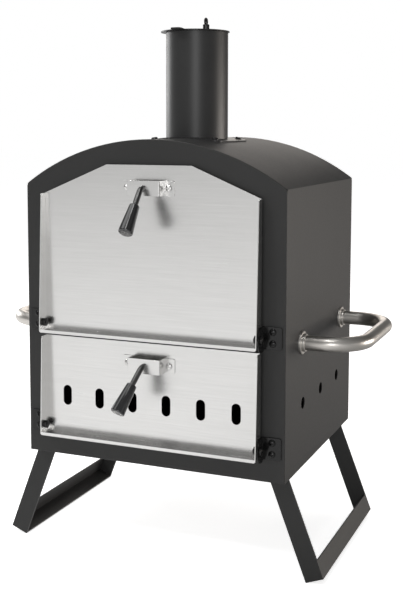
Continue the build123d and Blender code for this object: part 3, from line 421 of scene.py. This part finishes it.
# %% Give every node its finish
for name, node in nodes.items():
    node.data.materials.clear()
    node.data.materials.append(finishes[slot_of_node[name]])
print("nodes with a finish", len(nodes))

# %% [markdown]
# Folded and cut sheet has no razor edges: a press brake leaves a small radius, and the
# coat rounds every cut.  A real edge catches a thin line of light, so the pieces that
# show get a copy with a fine bevel.  The copy's loose triangles are merged and the flat
# ones dissolved first, or the bevel would find an edge across every flat face.

# %% Copy a node with softened edges
FLAT_ANGLE = math.radians(0.3)
CREASE_ANGLE = math.radians(28)
BEVEL_SEGMENTS = 2
FACE_WEIGHT = 100


def finish_piece(piece, *stands_for):
    """Puts a finished piece on the body and in the slot of the nodes it stands for."""
    node = stands_for[0]
    if not piece.data.materials:
        piece.data.materials.append(finishes[slot_of_node[node]])
    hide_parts(*stands_for)
    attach(piece, body_of_node[node])
    return piece


def shade(mesh, angle=CREASE_ANGLE):
    """Smooth shading that stays sharp at creases."""
    mesh.shade_smooth()
    mesh.set_sharp_from_angle(angle=angle)


def new_piece(name, mesh):
    """A new object in the scene with a given mesh."""
    piece = bpy.data.objects.new(name, mesh)
    bpy.context.scene.collection.objects.link(piece)
    return piece


def plain_mesh(piece):
    """Applies a piece's modifiers, and leaves it with a plain mesh."""
    bpy.context.view_layer.update()
    evaluated = piece.evaluated_get(bpy.context.evaluated_depsgraph_get())
    mesh = bpy.data.meshes.new_from_object(evaluated)
    name = piece.name
    bpy.data.objects.remove(piece)
    return new_piece(name, mesh)


def merged_copy(node):
    """A copy of a node's mesh with its flat faces whole."""
    work = bmesh.new()
    work.from_mesh(nodes[node].data)
    bmesh.ops.remove_doubles(work, verts=work.verts, dist=MERGE)
    bmesh.ops.dissolve_limit(work, angle_limit=FLAT_ANGLE, verts=work.verts, edges=work.edges)
    mesh = bpy.data.meshes.new(node + "_soft")
    work.to_mesh(mesh)
    work.free()
    return mesh


def soften(node, width):
    """Dresses a node with a copy whose edges have a small radius."""
    piece = new_piece(node + "_soft", merged_copy(node))
    piece.data.shade_smooth()
    bevel = piece.modifiers.new("edge radius", "BEVEL")
    bevel.width = width
    bevel.segments = BEVEL_SEGMENTS
    bevel.limit_method = "ANGLE"
    bevel.angle_limit = CREASE_ANGLE
    even = piece.modifiers.new("flat faces stay flat", "WEIGHTED_NORMAL")
    even.weight = FACE_WEIGHT
    return finish_piece(plain_mesh(piece), node)


SHEET_RADIUS = 0.35 * MM
BODY_RADIUS = 0.9 * MM
SMALL_RADIUS = 0.2 * MM
STONE_RADIUS = 1.2 * MM
BODY_SHEETS = ("front_frame", "back_panel")
SHEET_WORDS = ("door", "leg_left", "leg_right", "leg_brackets", "latch_bracket", "hinge_bracket_left",
               "hinge_bracket_right", "lid", "plate", "panel", "lug", "rail", "tray", "ash_pan")
SMALL_WORDS = ("flue_bolts", "flue_nuts", "hinge_bolts", "hinge_nuts", "leg_bolts", "leg_nuts",
               "handle_bolts", "finger", "latch_nut", "latch_rod", "damper_bolt", "spacer", "eye_nut")


def radius_of(node):
    """How far a node's edges are softened; nothing for the pieces that are rebuilt below."""
    if node in BODY_SHEETS:
        return BODY_RADIUS
    if node == "pizza_stone":
        return STONE_RADIUS
    if any(word in node for word in SMALL_WORDS):
        return SMALL_RADIUS
    if any(word in node for word in SHEET_WORDS):
        return SHEET_RADIUS
    return None


for node in sorted(nodes):
    radius = radius_of(node)
    if radius:
        soft = soften(node, radius)
        print(soft.name, len(soft.data.polygons), "faces")

# %% [markdown]
# The flue, the grips and the roses are round about an axis.  As on a real lathe, a closed
# profile is turned round that axis, and many small steps keep the outline round in a
# close view.  Points that fall on the axis itself are merged.

# %% Turn a profile into a round piece
LATHE_STEPS = 96
SMALL_STEPS = 64
AXIS_MERGE = 1e-7


def lathe(name, profile, origin, axis=(0, 0, 1), steps=LATHE_STEPS):
    """Spins a closed profile of (radius, height) points round an axis through origin."""
    turn = Vector((0, 0, 1)).rotation_difference(Vector(axis))
    work = bmesh.new()
    rings = []
    for radius, height in profile:
        ring = []
        for step in range(steps):
            angle = 2 * math.pi * step / steps
            point = Vector((radius * math.cos(angle), radius * math.sin(angle), height))
            ring.append(work.verts.new(turn @ point + Vector(origin)))
        rings.append(ring)
    for ring, following in zip(rings, rings[1:] + rings[:1]):
        for step in range(steps):
            after = (step + 1) % steps
            work.faces.new((ring[step], ring[after], following[after], following[step]))
    bmesh.ops.remove_doubles(work, verts=work.verts, dist=AXIS_MERGE)
    bmesh.ops.recalc_face_normals(work, faces=work.faces)
    mesh = bpy.data.meshes.new(name)
    work.to_mesh(mesh)
    work.free()
    shade(mesh)
    return new_piece(name, mesh)


# %% [markdown]
# A screw head that repeats is made once, by Geometry Nodes, and set on points.  The
# points carry the direction that each head faces.  The head is a squashed ball cut off
# at its seat, with a cross cut out of it by a boolean, and each size is a named input.

# %% The cross-recessed screw heads
def tree_input(group, name, kind, value=None):
    """Adds an input to a tree, with a value that stands unless a modifier gives another."""
    socket = group.interface.new_socket(name=name, in_out="INPUT", socket_type=kind)
    if value is not None:
        socket.default_value = value


def start_tree(name, sizes):
    """A Geometry Nodes tree with a geometry input, and one number input for each size."""
    group = bpy.data.node_groups.new(name, "GeometryNodeTree")
    group.interface.new_socket(name="Geometry", in_out="OUTPUT", socket_type="NodeSocketGeometry")
    tree_input(group, "Geometry", "NodeSocketGeometry")
    for size, value in sizes.items():
        tree_input(group, size, "NodeSocketFloat", value)
    tree_input(group, "Finish", "NodeSocketMaterial")
    graph = Graph(group)
    return group, graph, graph.add("NodeGroupInput")


def end_tree(graph, start, geometry):
    """Realizes the instances, sets the finish and closes the tree."""
    real = graph.add("GeometryNodeRealizeInstances", None, {"Geometry": geometry})
    finish = {"Geometry": real, "Material": start.other("Finish")}
    coated = graph.add("GeometryNodeSetMaterial", None, finish)
    graph.add("NodeGroupOutput", None, {"Geometry": coated})


def run_tree(piece, group, numbers, slot):
    """Runs a tree on a piece and leaves the result as a plain mesh."""
    modifier = piece.modifiers.new(group.name, "NODES")
    modifier.node_group = group
    for item in group.interface.items_tree:
        if item.in_out == "INPUT" and item.name in numbers:
            modifier[item.identifier] = float(numbers[item.name])
        if item.in_out == "INPUT" and item.name == "Finish":
            modifier[item.identifier] = finishes[slot]
    return plain_mesh(piece)


SCREW_SIZES = {"Diameter": 10 * MM, "Height": 3 * MM, "Slot": 1.7 * MM, "Recess": 2.2 * MM}
HEAD_BALL = {"Segments": 32, "Rings": 24, "Radius": 0.5}
SEAT_SHARE = 0.999
ARM_SHARE = 0.5


def screw_head_tree():
    """The tree that sets a cross-recessed head on every point of a piece."""
    group, graph, start = start_tree("cross_screw_heads", SCREW_SIZES)
    diameter = start.other("Diameter")
    height = start.other("Height")
    ball = graph.add("GeometryNodeMeshUVSphere", None, HEAD_BALL)
    size = graph.add("ShaderNodeCombineXYZ", None, {"X": diameter, "Y": diameter, "Z": height * 2})
    ball = graph.add("GeometryNodeTransform", None, {"Geometry": ball, "Scale": size})
    keep_size = graph.add(
        "ShaderNodeCombineXYZ", None, {"X": diameter * 2, "Y": diameter * 2, "Z": height * 2}
    )
    keep = graph.add("GeometryNodeMeshCube", None, {"Size": keep_size})
    lift = graph.add("ShaderNodeCombineXYZ", None, {"Z": height * SEAT_SHARE})
    keep = graph.add("GeometryNodeTransform", None, {"Geometry": keep, "Translation": lift})
    dome = graph.add("GeometryNodeMeshBoolean", {"operation": "INTERSECT", "solver": "EXACT"})
    graph.gather((ball, keep), dome, "Mesh 2")
    slot_height = graph.add("ShaderNodeCombineXYZ", None, {"Z": height})
    cutters = []
    for across in ("X", "Y"):
        along = "Y" if across == "X" else "X"
        length = diameter * ARM_SHARE
        sides = {across: start.other("Slot"), along: length, "Z": start.other("Recess") * 2}
        arm_size = graph.add("ShaderNodeCombineXYZ", None, sides)
        arm = graph.add("GeometryNodeMeshCube", None, {"Size": arm_size})
        placed = {"Geometry": arm, "Translation": slot_height}
        cutters.append(graph.add("GeometryNodeTransform", None, placed))
    difference = {"operation": "DIFFERENCE", "solver": "EXACT"}
    recess = graph.add("GeometryNodeMeshBoolean", difference, {"Mesh 1": dome})
    graph.gather(cutters, recess, "Mesh 2")
    facing = graph.add("GeometryNodeInputNamedAttribute", {"data_type": "FLOAT_VECTOR"},
                       {"Name": "facing"})
    turn = graph.add("FunctionNodeAlignRotationToVector", {"axis": "Z"}, {"Vector": facing})
    points = {"Points": start.other("Geometry"), "Instance": recess, "Rotation": turn}
    end_tree(graph, start, graph.add("GeometryNodeInstanceOnPoints", None, points))
    return group


def seats_mesh(name, seats):
    """A mesh of loose points, one for each (place, facing) seat."""
    mesh = bpy.data.meshes.new(name)
    mesh.from_pydata([place for place, _ in seats], [], [])
    facing = mesh.attributes.new("facing", "FLOAT_VECTOR", "POINT")
    for item, (_, direction) in zip(facing.data, seats):
        item.vector = direction
    return mesh


screw_heads = screw_head_tree()
FORWARD = Vector((0, -1, 0))
SCREW_CREASE = math.radians(35)


def front_screws(node):
    """Cross-headed screws that face forward, on the seats of a node's own screws."""
    boxes = islands(node)
    numbers = {**SCREW_SIZES, "Diameter": boxes[0][1].x - boxes[0][0].x}
    seats = []
    for low, high in boxes:
        seat = Vector(((low.x + high.x) / 2, low.y + numbers["Height"], (low.z + high.z) / 2))
        seats.append((seat, FORWARD))
    heads = new_piece(node + "_heads", seats_mesh(node + "_heads", seats))
    heads = run_tree(heads, screw_heads, numbers, slot_of_node[node])
    shade(heads.data, SCREW_CREASE)
    print(node, "screws", len(seats))
    return finish_piece(heads, node)


for node in ("hinge_bracket_screws", "upper_latch_screws", "lower_latch_screws"):
    front_screws(node)

# %% [markdown]
# The real flue's foot is cut to the arch of the roof.  Only its top shows an edge, so the
# lathe makes a straight tube, whose lower end simply goes down into the foot plate.

# %% The flue tube
flue_low, flue_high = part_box("flue_tube")
flue_centre = middle("flue_tube")
flue_radius = (flue_high.x - flue_low.x) / 2
FLUE_WALL = 1.5 * MM
BORE_SUNK = 1.0 * MM
TUBE_SUNK = 3.2 * MM
RIM = 0.4 * MM
roof_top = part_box("roof_panel")[1].z
flue_profile = [
    (flue_radius - FLUE_WALL, roof_top - BORE_SUNK),
    (flue_radius, roof_top - TUBE_SUNK),
    (flue_radius, flue_high.z - RIM),
    (flue_radius - RIM, flue_high.z),
    (flue_radius - FLUE_WALL + RIM, flue_high.z),
    (flue_radius - FLUE_WALL, flue_high.z - RIM),
]
flue = lathe("flue_round", flue_profile, (flue_centre.x, flue_centre.y, 0))
finish_piece(flue, "flue_tube")
print("flue", round(flue_radius * 2, 4), "m across")


# %% [markdown]
# A moulded grip is widest at its free end and has a rounded cap.  It leans out from the
# door, and each latch rests turned by a few degrees, so the grip's own line is worked
# out from the hat-shaped bracket in front of which its rod bends.

# %% The latch grips
GRIP_TILT = math.radians(37.3)
GRIP_NECK = 27.5 * MM
GRIP_LENGTH = 44.6 * MM
GRIP_TOP = 7.3 * MM
GRIP_END = 10.3 * MM
GRIP_TOP_ROUND = 1.8 * MM
GRIP_END_ROUND = 2.2 * MM
GRIP_BORE = 4.1 * MM
GRIP_BORE_DEPTH = 14 * MM
ELBOW_AHEAD = 7 * MM
LATCH_RESTS = {"upper": math.radians(2), "lower": math.radians(16)}


def arc(centre, radius, start, end, steps=8):
    """Points of an arc in a profile, by angles in degrees."""
    points = []
    for step in range(steps + 1):
        angle = math.radians(start + (end - start) * step / steps)
        points.append((centre[0] + radius * math.cos(angle), centre[1] + radius * math.sin(angle)))
    return points


def latch_grip(which, rest):
    """The grip of the upper or lower latch, turned by its angle at rest."""
    node = which + "_latch_grip"
    bracket = middle(which + "_latch_bracket")
    bracket_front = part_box(which + "_latch_bracket")[0].y
    drop = math.cos(GRIP_TILT)
    down = Vector((-math.sin(rest) * drop, -math.sin(GRIP_TILT), -math.cos(rest) * drop))
    top = Vector((bracket.x, bracket_front - ELBOW_AHEAD, bracket.z)) + down * GRIP_NECK
    profile = [(GRIP_BORE, 0)]
    profile += arc((GRIP_TOP - GRIP_TOP_ROUND, GRIP_TOP_ROUND), GRIP_TOP_ROUND, -90, 0)
    cap = (GRIP_END - GRIP_END_ROUND, GRIP_LENGTH - GRIP_END_ROUND)
    profile += arc(cap, GRIP_END_ROUND, 0, 90)
    profile += [(0, GRIP_LENGTH), (0, GRIP_BORE_DEPTH), (GRIP_BORE, GRIP_BORE_DEPTH)]
    return finish_piece(lathe(node + "_moulded", profile, top, axis=down, steps=SMALL_STEPS), node)


for which, rest in LATCH_RESTS.items():
    print(latch_grip(which, rest).name)

# %% [markdown]
# A side handle is tube bent twice round a die.  Its centre line is two straight ends,
# two quarter circles and a straight grip, and a fine ring of points follows it.

# %% The bent tube handles
HANDLE_BEND = 52 * MM
HANDLE_WALL = 1.5 * MM
TUBE_STEPS = 40
BEND_STEPS = 20


def bent_line(foot_x, grip_x, front, back, height):
    """Centre line of a handle: places and directions from one foot to the other."""
    away = 1 if grip_x > foot_x else -1
    line = [(Vector((foot_x, front, height)), Vector((away, 0, 0)))]
    for corner, first in ((front, 1), (back, -1)):
        centre = Vector((grip_x - away * HANDLE_BEND, corner + first * HANDLE_BEND, height))
        for step in range(BEND_STEPS + 1):
            share = step / BEND_STEPS if first > 0 else 1 - step / BEND_STEPS
            angle = math.pi / 2 * share
            out = away * HANDLE_BEND * math.sin(angle)
            place = centre + Vector((out, -first * HANDLE_BEND * math.cos(angle), 0))
            heading = Vector((away * math.cos(angle), first * math.sin(angle), 0))
            line.append((place, heading if first > 0 else Vector((-heading.x, -heading.y, 0))))
    line.append((Vector((foot_x, back, height)), Vector((-away, 0, 0))))
    return line


def tube_round(name, line, radius, wall):
    """A tube with a wall, swept along a centre line that lies level."""
    work = bmesh.new()
    up = Vector((0, 0, 1))
    skins = []
    for size in (radius, radius - wall):
        rings = []
        for place, heading in line:
            side = heading.cross(up)
            ring = []
            for step in range(TUBE_STEPS):
                angle = 2 * math.pi * step / TUBE_STEPS
                around = side * math.cos(angle) + up * math.sin(angle)
                ring.append(work.verts.new(place + size * around))
            rings.append(ring)
        skins.append(rings)
    for rings in skins:
        for ring, following in zip(rings, rings[1:]):
            for step in range(TUBE_STEPS):
                after = (step + 1) % TUBE_STEPS
                work.faces.new((ring[step], ring[after], following[after], following[step]))
    for end in (0, -1):
        outer, inner = skins[0][end], skins[1][end]
        for step in range(TUBE_STEPS):
            after = (step + 1) % TUBE_STEPS
            work.faces.new((outer[step], outer[after], inner[after], inner[step]))
    bmesh.ops.recalc_face_normals(work, faces=work.faces)
    mesh = bpy.data.meshes.new(name)
    work.to_mesh(mesh)
    work.free()
    shade(mesh)
    return new_piece(name, mesh)


for side in ("left", "right"):
    node = "side_handle_" + side
    low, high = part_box(node)
    tube = (high.z - low.z) / 2
    ends = (low.x, high.x) if side == "right" else (high.x, low.x)
    grip_x = ends[1] - tube if side == "right" else ends[1] + tube
    line = bent_line(ends[0], grip_x, low.y + tube, high.y - tube, (low.z + high.z) / 2)
    handle = tube_round(node + "_bent", line, tube, HANDLE_WALL)
    finish_piece(handle, node)
    print(handle.name, len(handle.data.polygons), "faces")

# %% [markdown]
# The roses are turned on a lathe in the workshop, so they are turned here as well:
# a flat flange against the body, a step, and a neck that takes the tube.

# %% The roses at the feet of the handles
ROSE_STEP = 3 * MM
ROSE_NECK = 12.75 * MM
ROSE_NECK_WALL = 2.15 * MM
ROSE_BOLT_HOLE = 3.1 * MM
ROSE_SOCKET_FLOOR = 2.95 * MM
ROSE_EDGE = 0.9 * MM
EDGE_STEPS = 5


def rose_profile(radius, length):
    """The section of a rose: a rounded flange, a rounded neck, the socket and the bolt's hole."""
    neck_bore = ROSE_NECK - ROSE_NECK_WALL
    profile = [(ROSE_BOLT_HOLE, 0), (radius, 0)]
    profile += arc((radius - ROSE_EDGE, ROSE_STEP - ROSE_EDGE), ROSE_EDGE, 0, 90, EDGE_STEPS)
    profile += [(ROSE_NECK, ROSE_STEP)]
    profile += arc((ROSE_NECK - ROSE_EDGE, length - ROSE_EDGE), ROSE_EDGE, 0, 90, EDGE_STEPS)
    profile += [(neck_bore, length), (neck_bore, ROSE_SOCKET_FLOOR)]
    return profile + [(ROSE_BOLT_HOLE, ROSE_SOCKET_FLOOR)]


for side, away in (("left", -1), ("right", 1)):
    node = "handle_roses_" + side
    joined = bmesh.new()
    for low, high in islands(node):
        profile = rose_profile((high.z - low.z) / 2, high.x - low.x)
        place = (low.x if away > 0 else high.x, (low.y + high.y) / 2, (low.z + high.z) / 2)
        rose = lathe("rose_" + side, profile, place, axis=(away, 0, 0), steps=SMALL_STEPS)
        joined.from_mesh(rose.data)
        bpy.data.objects.remove(rose)
    mesh = bpy.data.meshes.new(node + "_turned")
    joined.to_mesh(mesh)
    joined.free()
    shade(mesh)
    finish_piece(new_piece(node + "_turned", mesh), node)
    print(node, len(mesh.polygons), "faces")

# %% [markdown]
# The wire rack is a bent frame with welded bars.  The bars repeat, so Geometry Nodes
# set a line of points across the frame, put a straight wire on each, and sweep a round
# section along all of them.

# %% The wire rack under the stone
rack_low, rack_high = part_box("stone_rack")
rack_wire = rack_high.z - rack_low.z
RACK_SIZES = {
    "Width": rack_high.x - rack_low.x - rack_wire,
    "Depth": rack_high.y - rack_low.y - rack_wire,
    "Corner": 14 * MM,
    "Frame Wire": rack_wire,
    "Bar Wire": 4 * MM,
    "Bars": 11,
}
CORNER_STEPS = 8
FRAME_WIRE_STEPS = 14
BAR_WIRE_STEPS = 10
RACK_CREASE = math.radians(60)


def wire_rack_tree():
    """The tree that makes a rack: a wire frame with a row of wire bars inside it."""
    group, graph, start = start_tree("wire_rack", RACK_SIZES)
    bars = start.other("Bars")
    width = start.other("Width")
    depth = start.other("Depth")
    frame_wire = start.other("Frame Wire")
    bar_wire = start.other("Bar Wire")
    sides = {"Width": width, "Height": depth}
    outline = graph.add("GeometryNodeCurvePrimitiveQuadrilateral", None, sides)
    rounded = {"Curve": outline, "Count": CORNER_STEPS, "Radius": start.other("Corner")}
    outline = graph.add("GeometryNodeFilletCurve", {"mode": "POLY"}, rounded)
    ring = {"Resolution": FRAME_WIRE_STEPS, "Radius": frame_wire / 2}
    frame_ring = graph.add("GeometryNodeCurvePrimitiveCircle", None, ring)
    swept = {"Curve": outline, "Profile Curve": frame_ring}
    wire = graph.add("GeometryNodeCurveToMesh", None, swept)
    half = depth / 2
    ends = [graph.add("ShaderNodeCombineXYZ", None, {"Y": half * side}) for side in (-1, 1)]
    bar = graph.add("GeometryNodeCurvePrimitiveLine", None, {"Start": ends[0], "End": ends[1]})
    pitch = width / (bars + 1)
    first = pitch - width / 2
    level = (frame_wire - bar_wire) / 2
    first_place = graph.add("ShaderNodeCombineXYZ", None, {"X": first, "Z": level})
    step = graph.add("ShaderNodeCombineXYZ", None, {"X": pitch})
    spaced = {"Count": bars, "Start Location": first_place, "Offset": step}
    row = graph.add("GeometryNodeMeshLine", None, spaced)
    bar_row = graph.add("GeometryNodeInstanceOnPoints", None, {"Points": row, "Instance": bar})
    bar_row = graph.add("GeometryNodeRealizeInstances", None, {"Geometry": bar_row})
    ring = {"Resolution": BAR_WIRE_STEPS, "Radius": bar_wire / 2}
    bar_ring = graph.add("GeometryNodeCurvePrimitiveCircle", None, ring)
    swept = {"Curve": bar_row, "Profile Curve": bar_ring, "Fill Caps": True}
    bar_wires = graph.add("GeometryNodeCurveToMesh", None, swept)
    both = graph.add("GeometryNodeJoinGeometry")
    graph.gather((wire, bar_wires), both, "Geometry")
    end_tree(graph, start, both)
    return group


rack = new_piece("stone_rack_wires", bpy.data.meshes.new("stone_rack_wires"))
rack = run_tree(rack, wire_rack_tree(), RACK_SIZES, "rack_chrome")
for vert in rack.data.vertices:
    vert.co += middle("stone_rack")
shade(rack.data, RACK_CREASE)
finish_piece(rack, "stone_rack")
print("rack", len(rack.data.polygons), "faces")

# %% [markdown]
# The photograph was taken from about the height of the roof, to the right of the oven.
# The camera stands where the photograph's own lines put it, and its lens and shift come
# from the same measurements.

# %% The camera
CAMERA_RIGHT = 0.6110
CAMERA_AWAY = 1.2986
CAMERA_ABOVE = 0.4837
CAMERA_YAW = 22.82
CAMERA_DOWN = 5.433
CAMERA_ROLL = -0.053
LENS = 61.72
SENSOR_WIDTH = 36
SHIFT_RIGHT = 0.01437
SHIFT_UP = -0.1256
frame_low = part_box("front_frame")[0]
camera_data = bpy.data.cameras.new("photograph_view")
camera_data.lens = LENS
camera_data.sensor_width = SENSOR_WIDTH
camera_data.shift_x = SHIFT_RIGHT
camera_data.shift_y = SHIFT_UP
camera = bpy.data.objects.new("photograph_view", camera_data)
camera.location = (CAMERA_RIGHT, frame_low.y - CAMERA_AWAY, frame_low.z + CAMERA_ABOVE)
turns = (90 - CAMERA_DOWN, CAMERA_ROLL, CAMERA_YAW)
camera.rotation_euler = [math.radians(turn) for turn in turns]
bpy.context.scene.collection.objects.link(camera)
bpy.context.scene.camera = camera
print("camera at", [round(v, 3) for v in camera.location])

# %% [markdown]
# A product photograph is lit by large soft boxes, so that steel shows broad pale bands
# and black paint shows soft edges.  One big box and a narrow strip hang above, one
# stands behind the camera and brightens the doors, and a warm one low at the right lifts
# the side panel.  One at the left draws the bright line down the flue, and a warm one
# behind at the left lets the roof fade from left to right.  Two stand at the front left:
# a weak soft box, and a small hard one that gives the grips and screws their sparkle.
# Places and sizes are in metres.

# %% Lamps
CENTRE = (0, 0, 0.4)
LOW_CENTRE = (0, 0, 0.3)
HIGH_CENTRE = (0, 0, 0.6)
WHITE = (1, 1, 1)
WARM = (1, 0.93, 0.86)


def soft_box(name, place, size, watts, aim=CENTRE, tint=WHITE):
    """A flat lamp of some (width, height), turned towards a point of the oven."""
    lamp = bpy.data.lights.new(name, "AREA")
    lamp.color = tint
    lamp.shape = "RECTANGLE"
    lamp.size, lamp.size_y = size
    lamp.energy = watts
    holder = bpy.data.objects.new(name, lamp)
    holder.location = place
    holder.rotation_euler = (Vector(aim) - Vector(place)).to_track_quat("-Z", "Y").to_euler()
    bpy.context.scene.collection.objects.link(holder)


soft_box("above", (-0.9, -0.3, 2.5), size=(2.0, 2.0), watts=20)
soft_box("strip_above", (0.25, -0.9, 2.3), size=(0.12, 1.2), watts=6)
soft_box("front_left", (-2.0, -2.4, 2.4), size=(1.2, 1.2), watts=6)
soft_box("behind_camera", (1.0, -3.1, 0.95), size=(1.1, 0.8), watts=18)
soft_box("right_side", (2.4, 1.5, 0.36), size=(1.6, 0.6), watts=32, aim=LOW_CENTRE, tint=WARM)
soft_box("left_panel", (-2.2, 0.9, 0.9), size=(1.2, 0.6), watts=10, aim=HIGH_CENTRE)
soft_box("back_left", (-1.1, 2.6, 1.3), size=(2.0, 0.8), watts=11, aim=HIGH_CENTRE, tint=WARM)
soft_box("sparkle", (-1.4, -2.0, 2.5), size=(0.15, 0.15), watts=14)
print("lamps", len(bpy.data.lights))

# %% [markdown]
# Steel is a mirror, so the room around it matters as much as the lamps.  To the camera
# the room is plain white.  In reflections it is bright at the back left and the front
# right, greyer at the front left and dark at the back right, and its ceiling is dimmer
# than its walls.  That puts the dark and pale bands on the doors and the tubes.

# %% The room
ROOM_LIGHT = 0.32
ROOM_LEVELS = {"middle": 0.675, "right": -0.054, "back": -0.197, "corners": -0.915}
FLOOR_LEVELS = {"middle": 0.63, "right": -0.69, "back": -0.19, "corners": -0.29}
MIRROR_LEAST = 0.10
MIRROR_MOST = 0.92
CEILING_DIM = 0.7
CEILING_STARTS = 0.02
CEILING_FULL = 0.20


def mirrored_level(graph, levels, right, back):
    """How bright the studio is in a reflection, by its direction: dark at the back right."""
    level = levels["middle"] + right * levels["right"] + back * levels["back"]
    level = level + right * back * levels["corners"]
    return graph.maths("MINIMUM", graph.maths("MAXIMUM", level, MIRROR_LEAST), MIRROR_MOST)


world = bpy.data.worlds.new("studio")
world.use_nodes = True
graph = Graph(world.node_tree)
rays = graph.add("ShaderNodeLightPath")
glossy = rays.other("Is Glossy Ray")
direct = rays.other("Is Camera Ray") + rays.other("Is Transmission Ray")
spread = 1 - glossy - direct
heading = graph.add("ShaderNodeTexCoord", output="Generated")
toward = graph.add("ShaderNodeSeparateXYZ", None, {"Vector": heading}, output="X")
height = toward.other("Z")
level = mirrored_level(graph, ROOM_LEVELS, toward, toward.other("Y"))
ceiling = graph.ramp(height, [(CEILING_STARTS, 0.0), (CEILING_FULL, 1.0)])
mirrored = level * (1 - ceiling * CEILING_DIM)
strength = direct + glossy * mirrored + spread * ROOM_LIGHT
room = graph.add("ShaderNodeBackground", None, {"Color": (1, 1, 1, 1), "Strength": strength})
graph.add("ShaderNodeOutputWorld", None, {"Surface": room})
bpy.context.scene.world = world
bpy.context.scene.view_settings.view_transform = "Standard"
print("room light", ROOM_LIGHT)

# %% [markdown]
# The floor is pale paper that runs away out of sight.  It keeps the oven's soft shadow.
# A little glow makes it as white as the backdrop, and in reflections it follows the
# room, brighter at the left than at the right.

# %% The floor
FLOOR_HALF = 20.0
FLOOR_GLOW = 0.70
FLOOR_MIRRORED = 0.86
PAPER = 0.93
PAPER_MIRRORED = 0.36
floor_mesh = bpy.data.meshes.new("floor")
signs = [(-1, -1), (1, -1), (1, 1), (-1, 1)]
corners = [(x * FLOOR_HALF, y * FLOOR_HALF, 0) for x, y in signs]
floor_mesh.from_pydata(corners, [], [(0, 1, 2, 3)])
floor = new_piece("floor", floor_mesh)
paper = bpy.data.materials.new("paper_floor")
paper.use_nodes = True
graph = Graph(paper.node_tree)
rays = graph.add("ShaderNodeLightPath")
glossy = rays.other("Is Glossy Ray")
colour = graph.blend(glossy, (PAPER,) * 3 + (1,), (PAPER_MIRRORED,) * 3 + (1,))
sheet = graph.add("ShaderNodeBsdfDiffuse", None, {"Color": colour})
place = graph.add("ShaderNodeTexCoord", output="Object")
heading = graph.add("ShaderNodeVectorMath", {"operation": "NORMALIZE"}, {0: place})
toward = graph.add("ShaderNodeSeparateXYZ", None, {"Vector": heading}, output="X")
mirrored = mirrored_level(graph, FLOOR_LEVELS, toward, toward.other("Y")) * FLOOR_MIRRORED
seen = rays.other("Is Camera Ray") * FLOOR_GLOW + glossy * mirrored
glow = graph.add("ShaderNodeEmission", None, {"Color": (1, 1, 1, 1), "Strength": seen})
both = graph.add("ShaderNodeAddShader", None, {0: sheet, 1: glow})
graph.add("ShaderNodeOutputMaterial", None, {"Surface": both})
floor_mesh.materials.append(paper)
print("floor", 2 * FLOOR_HALF, "m wide")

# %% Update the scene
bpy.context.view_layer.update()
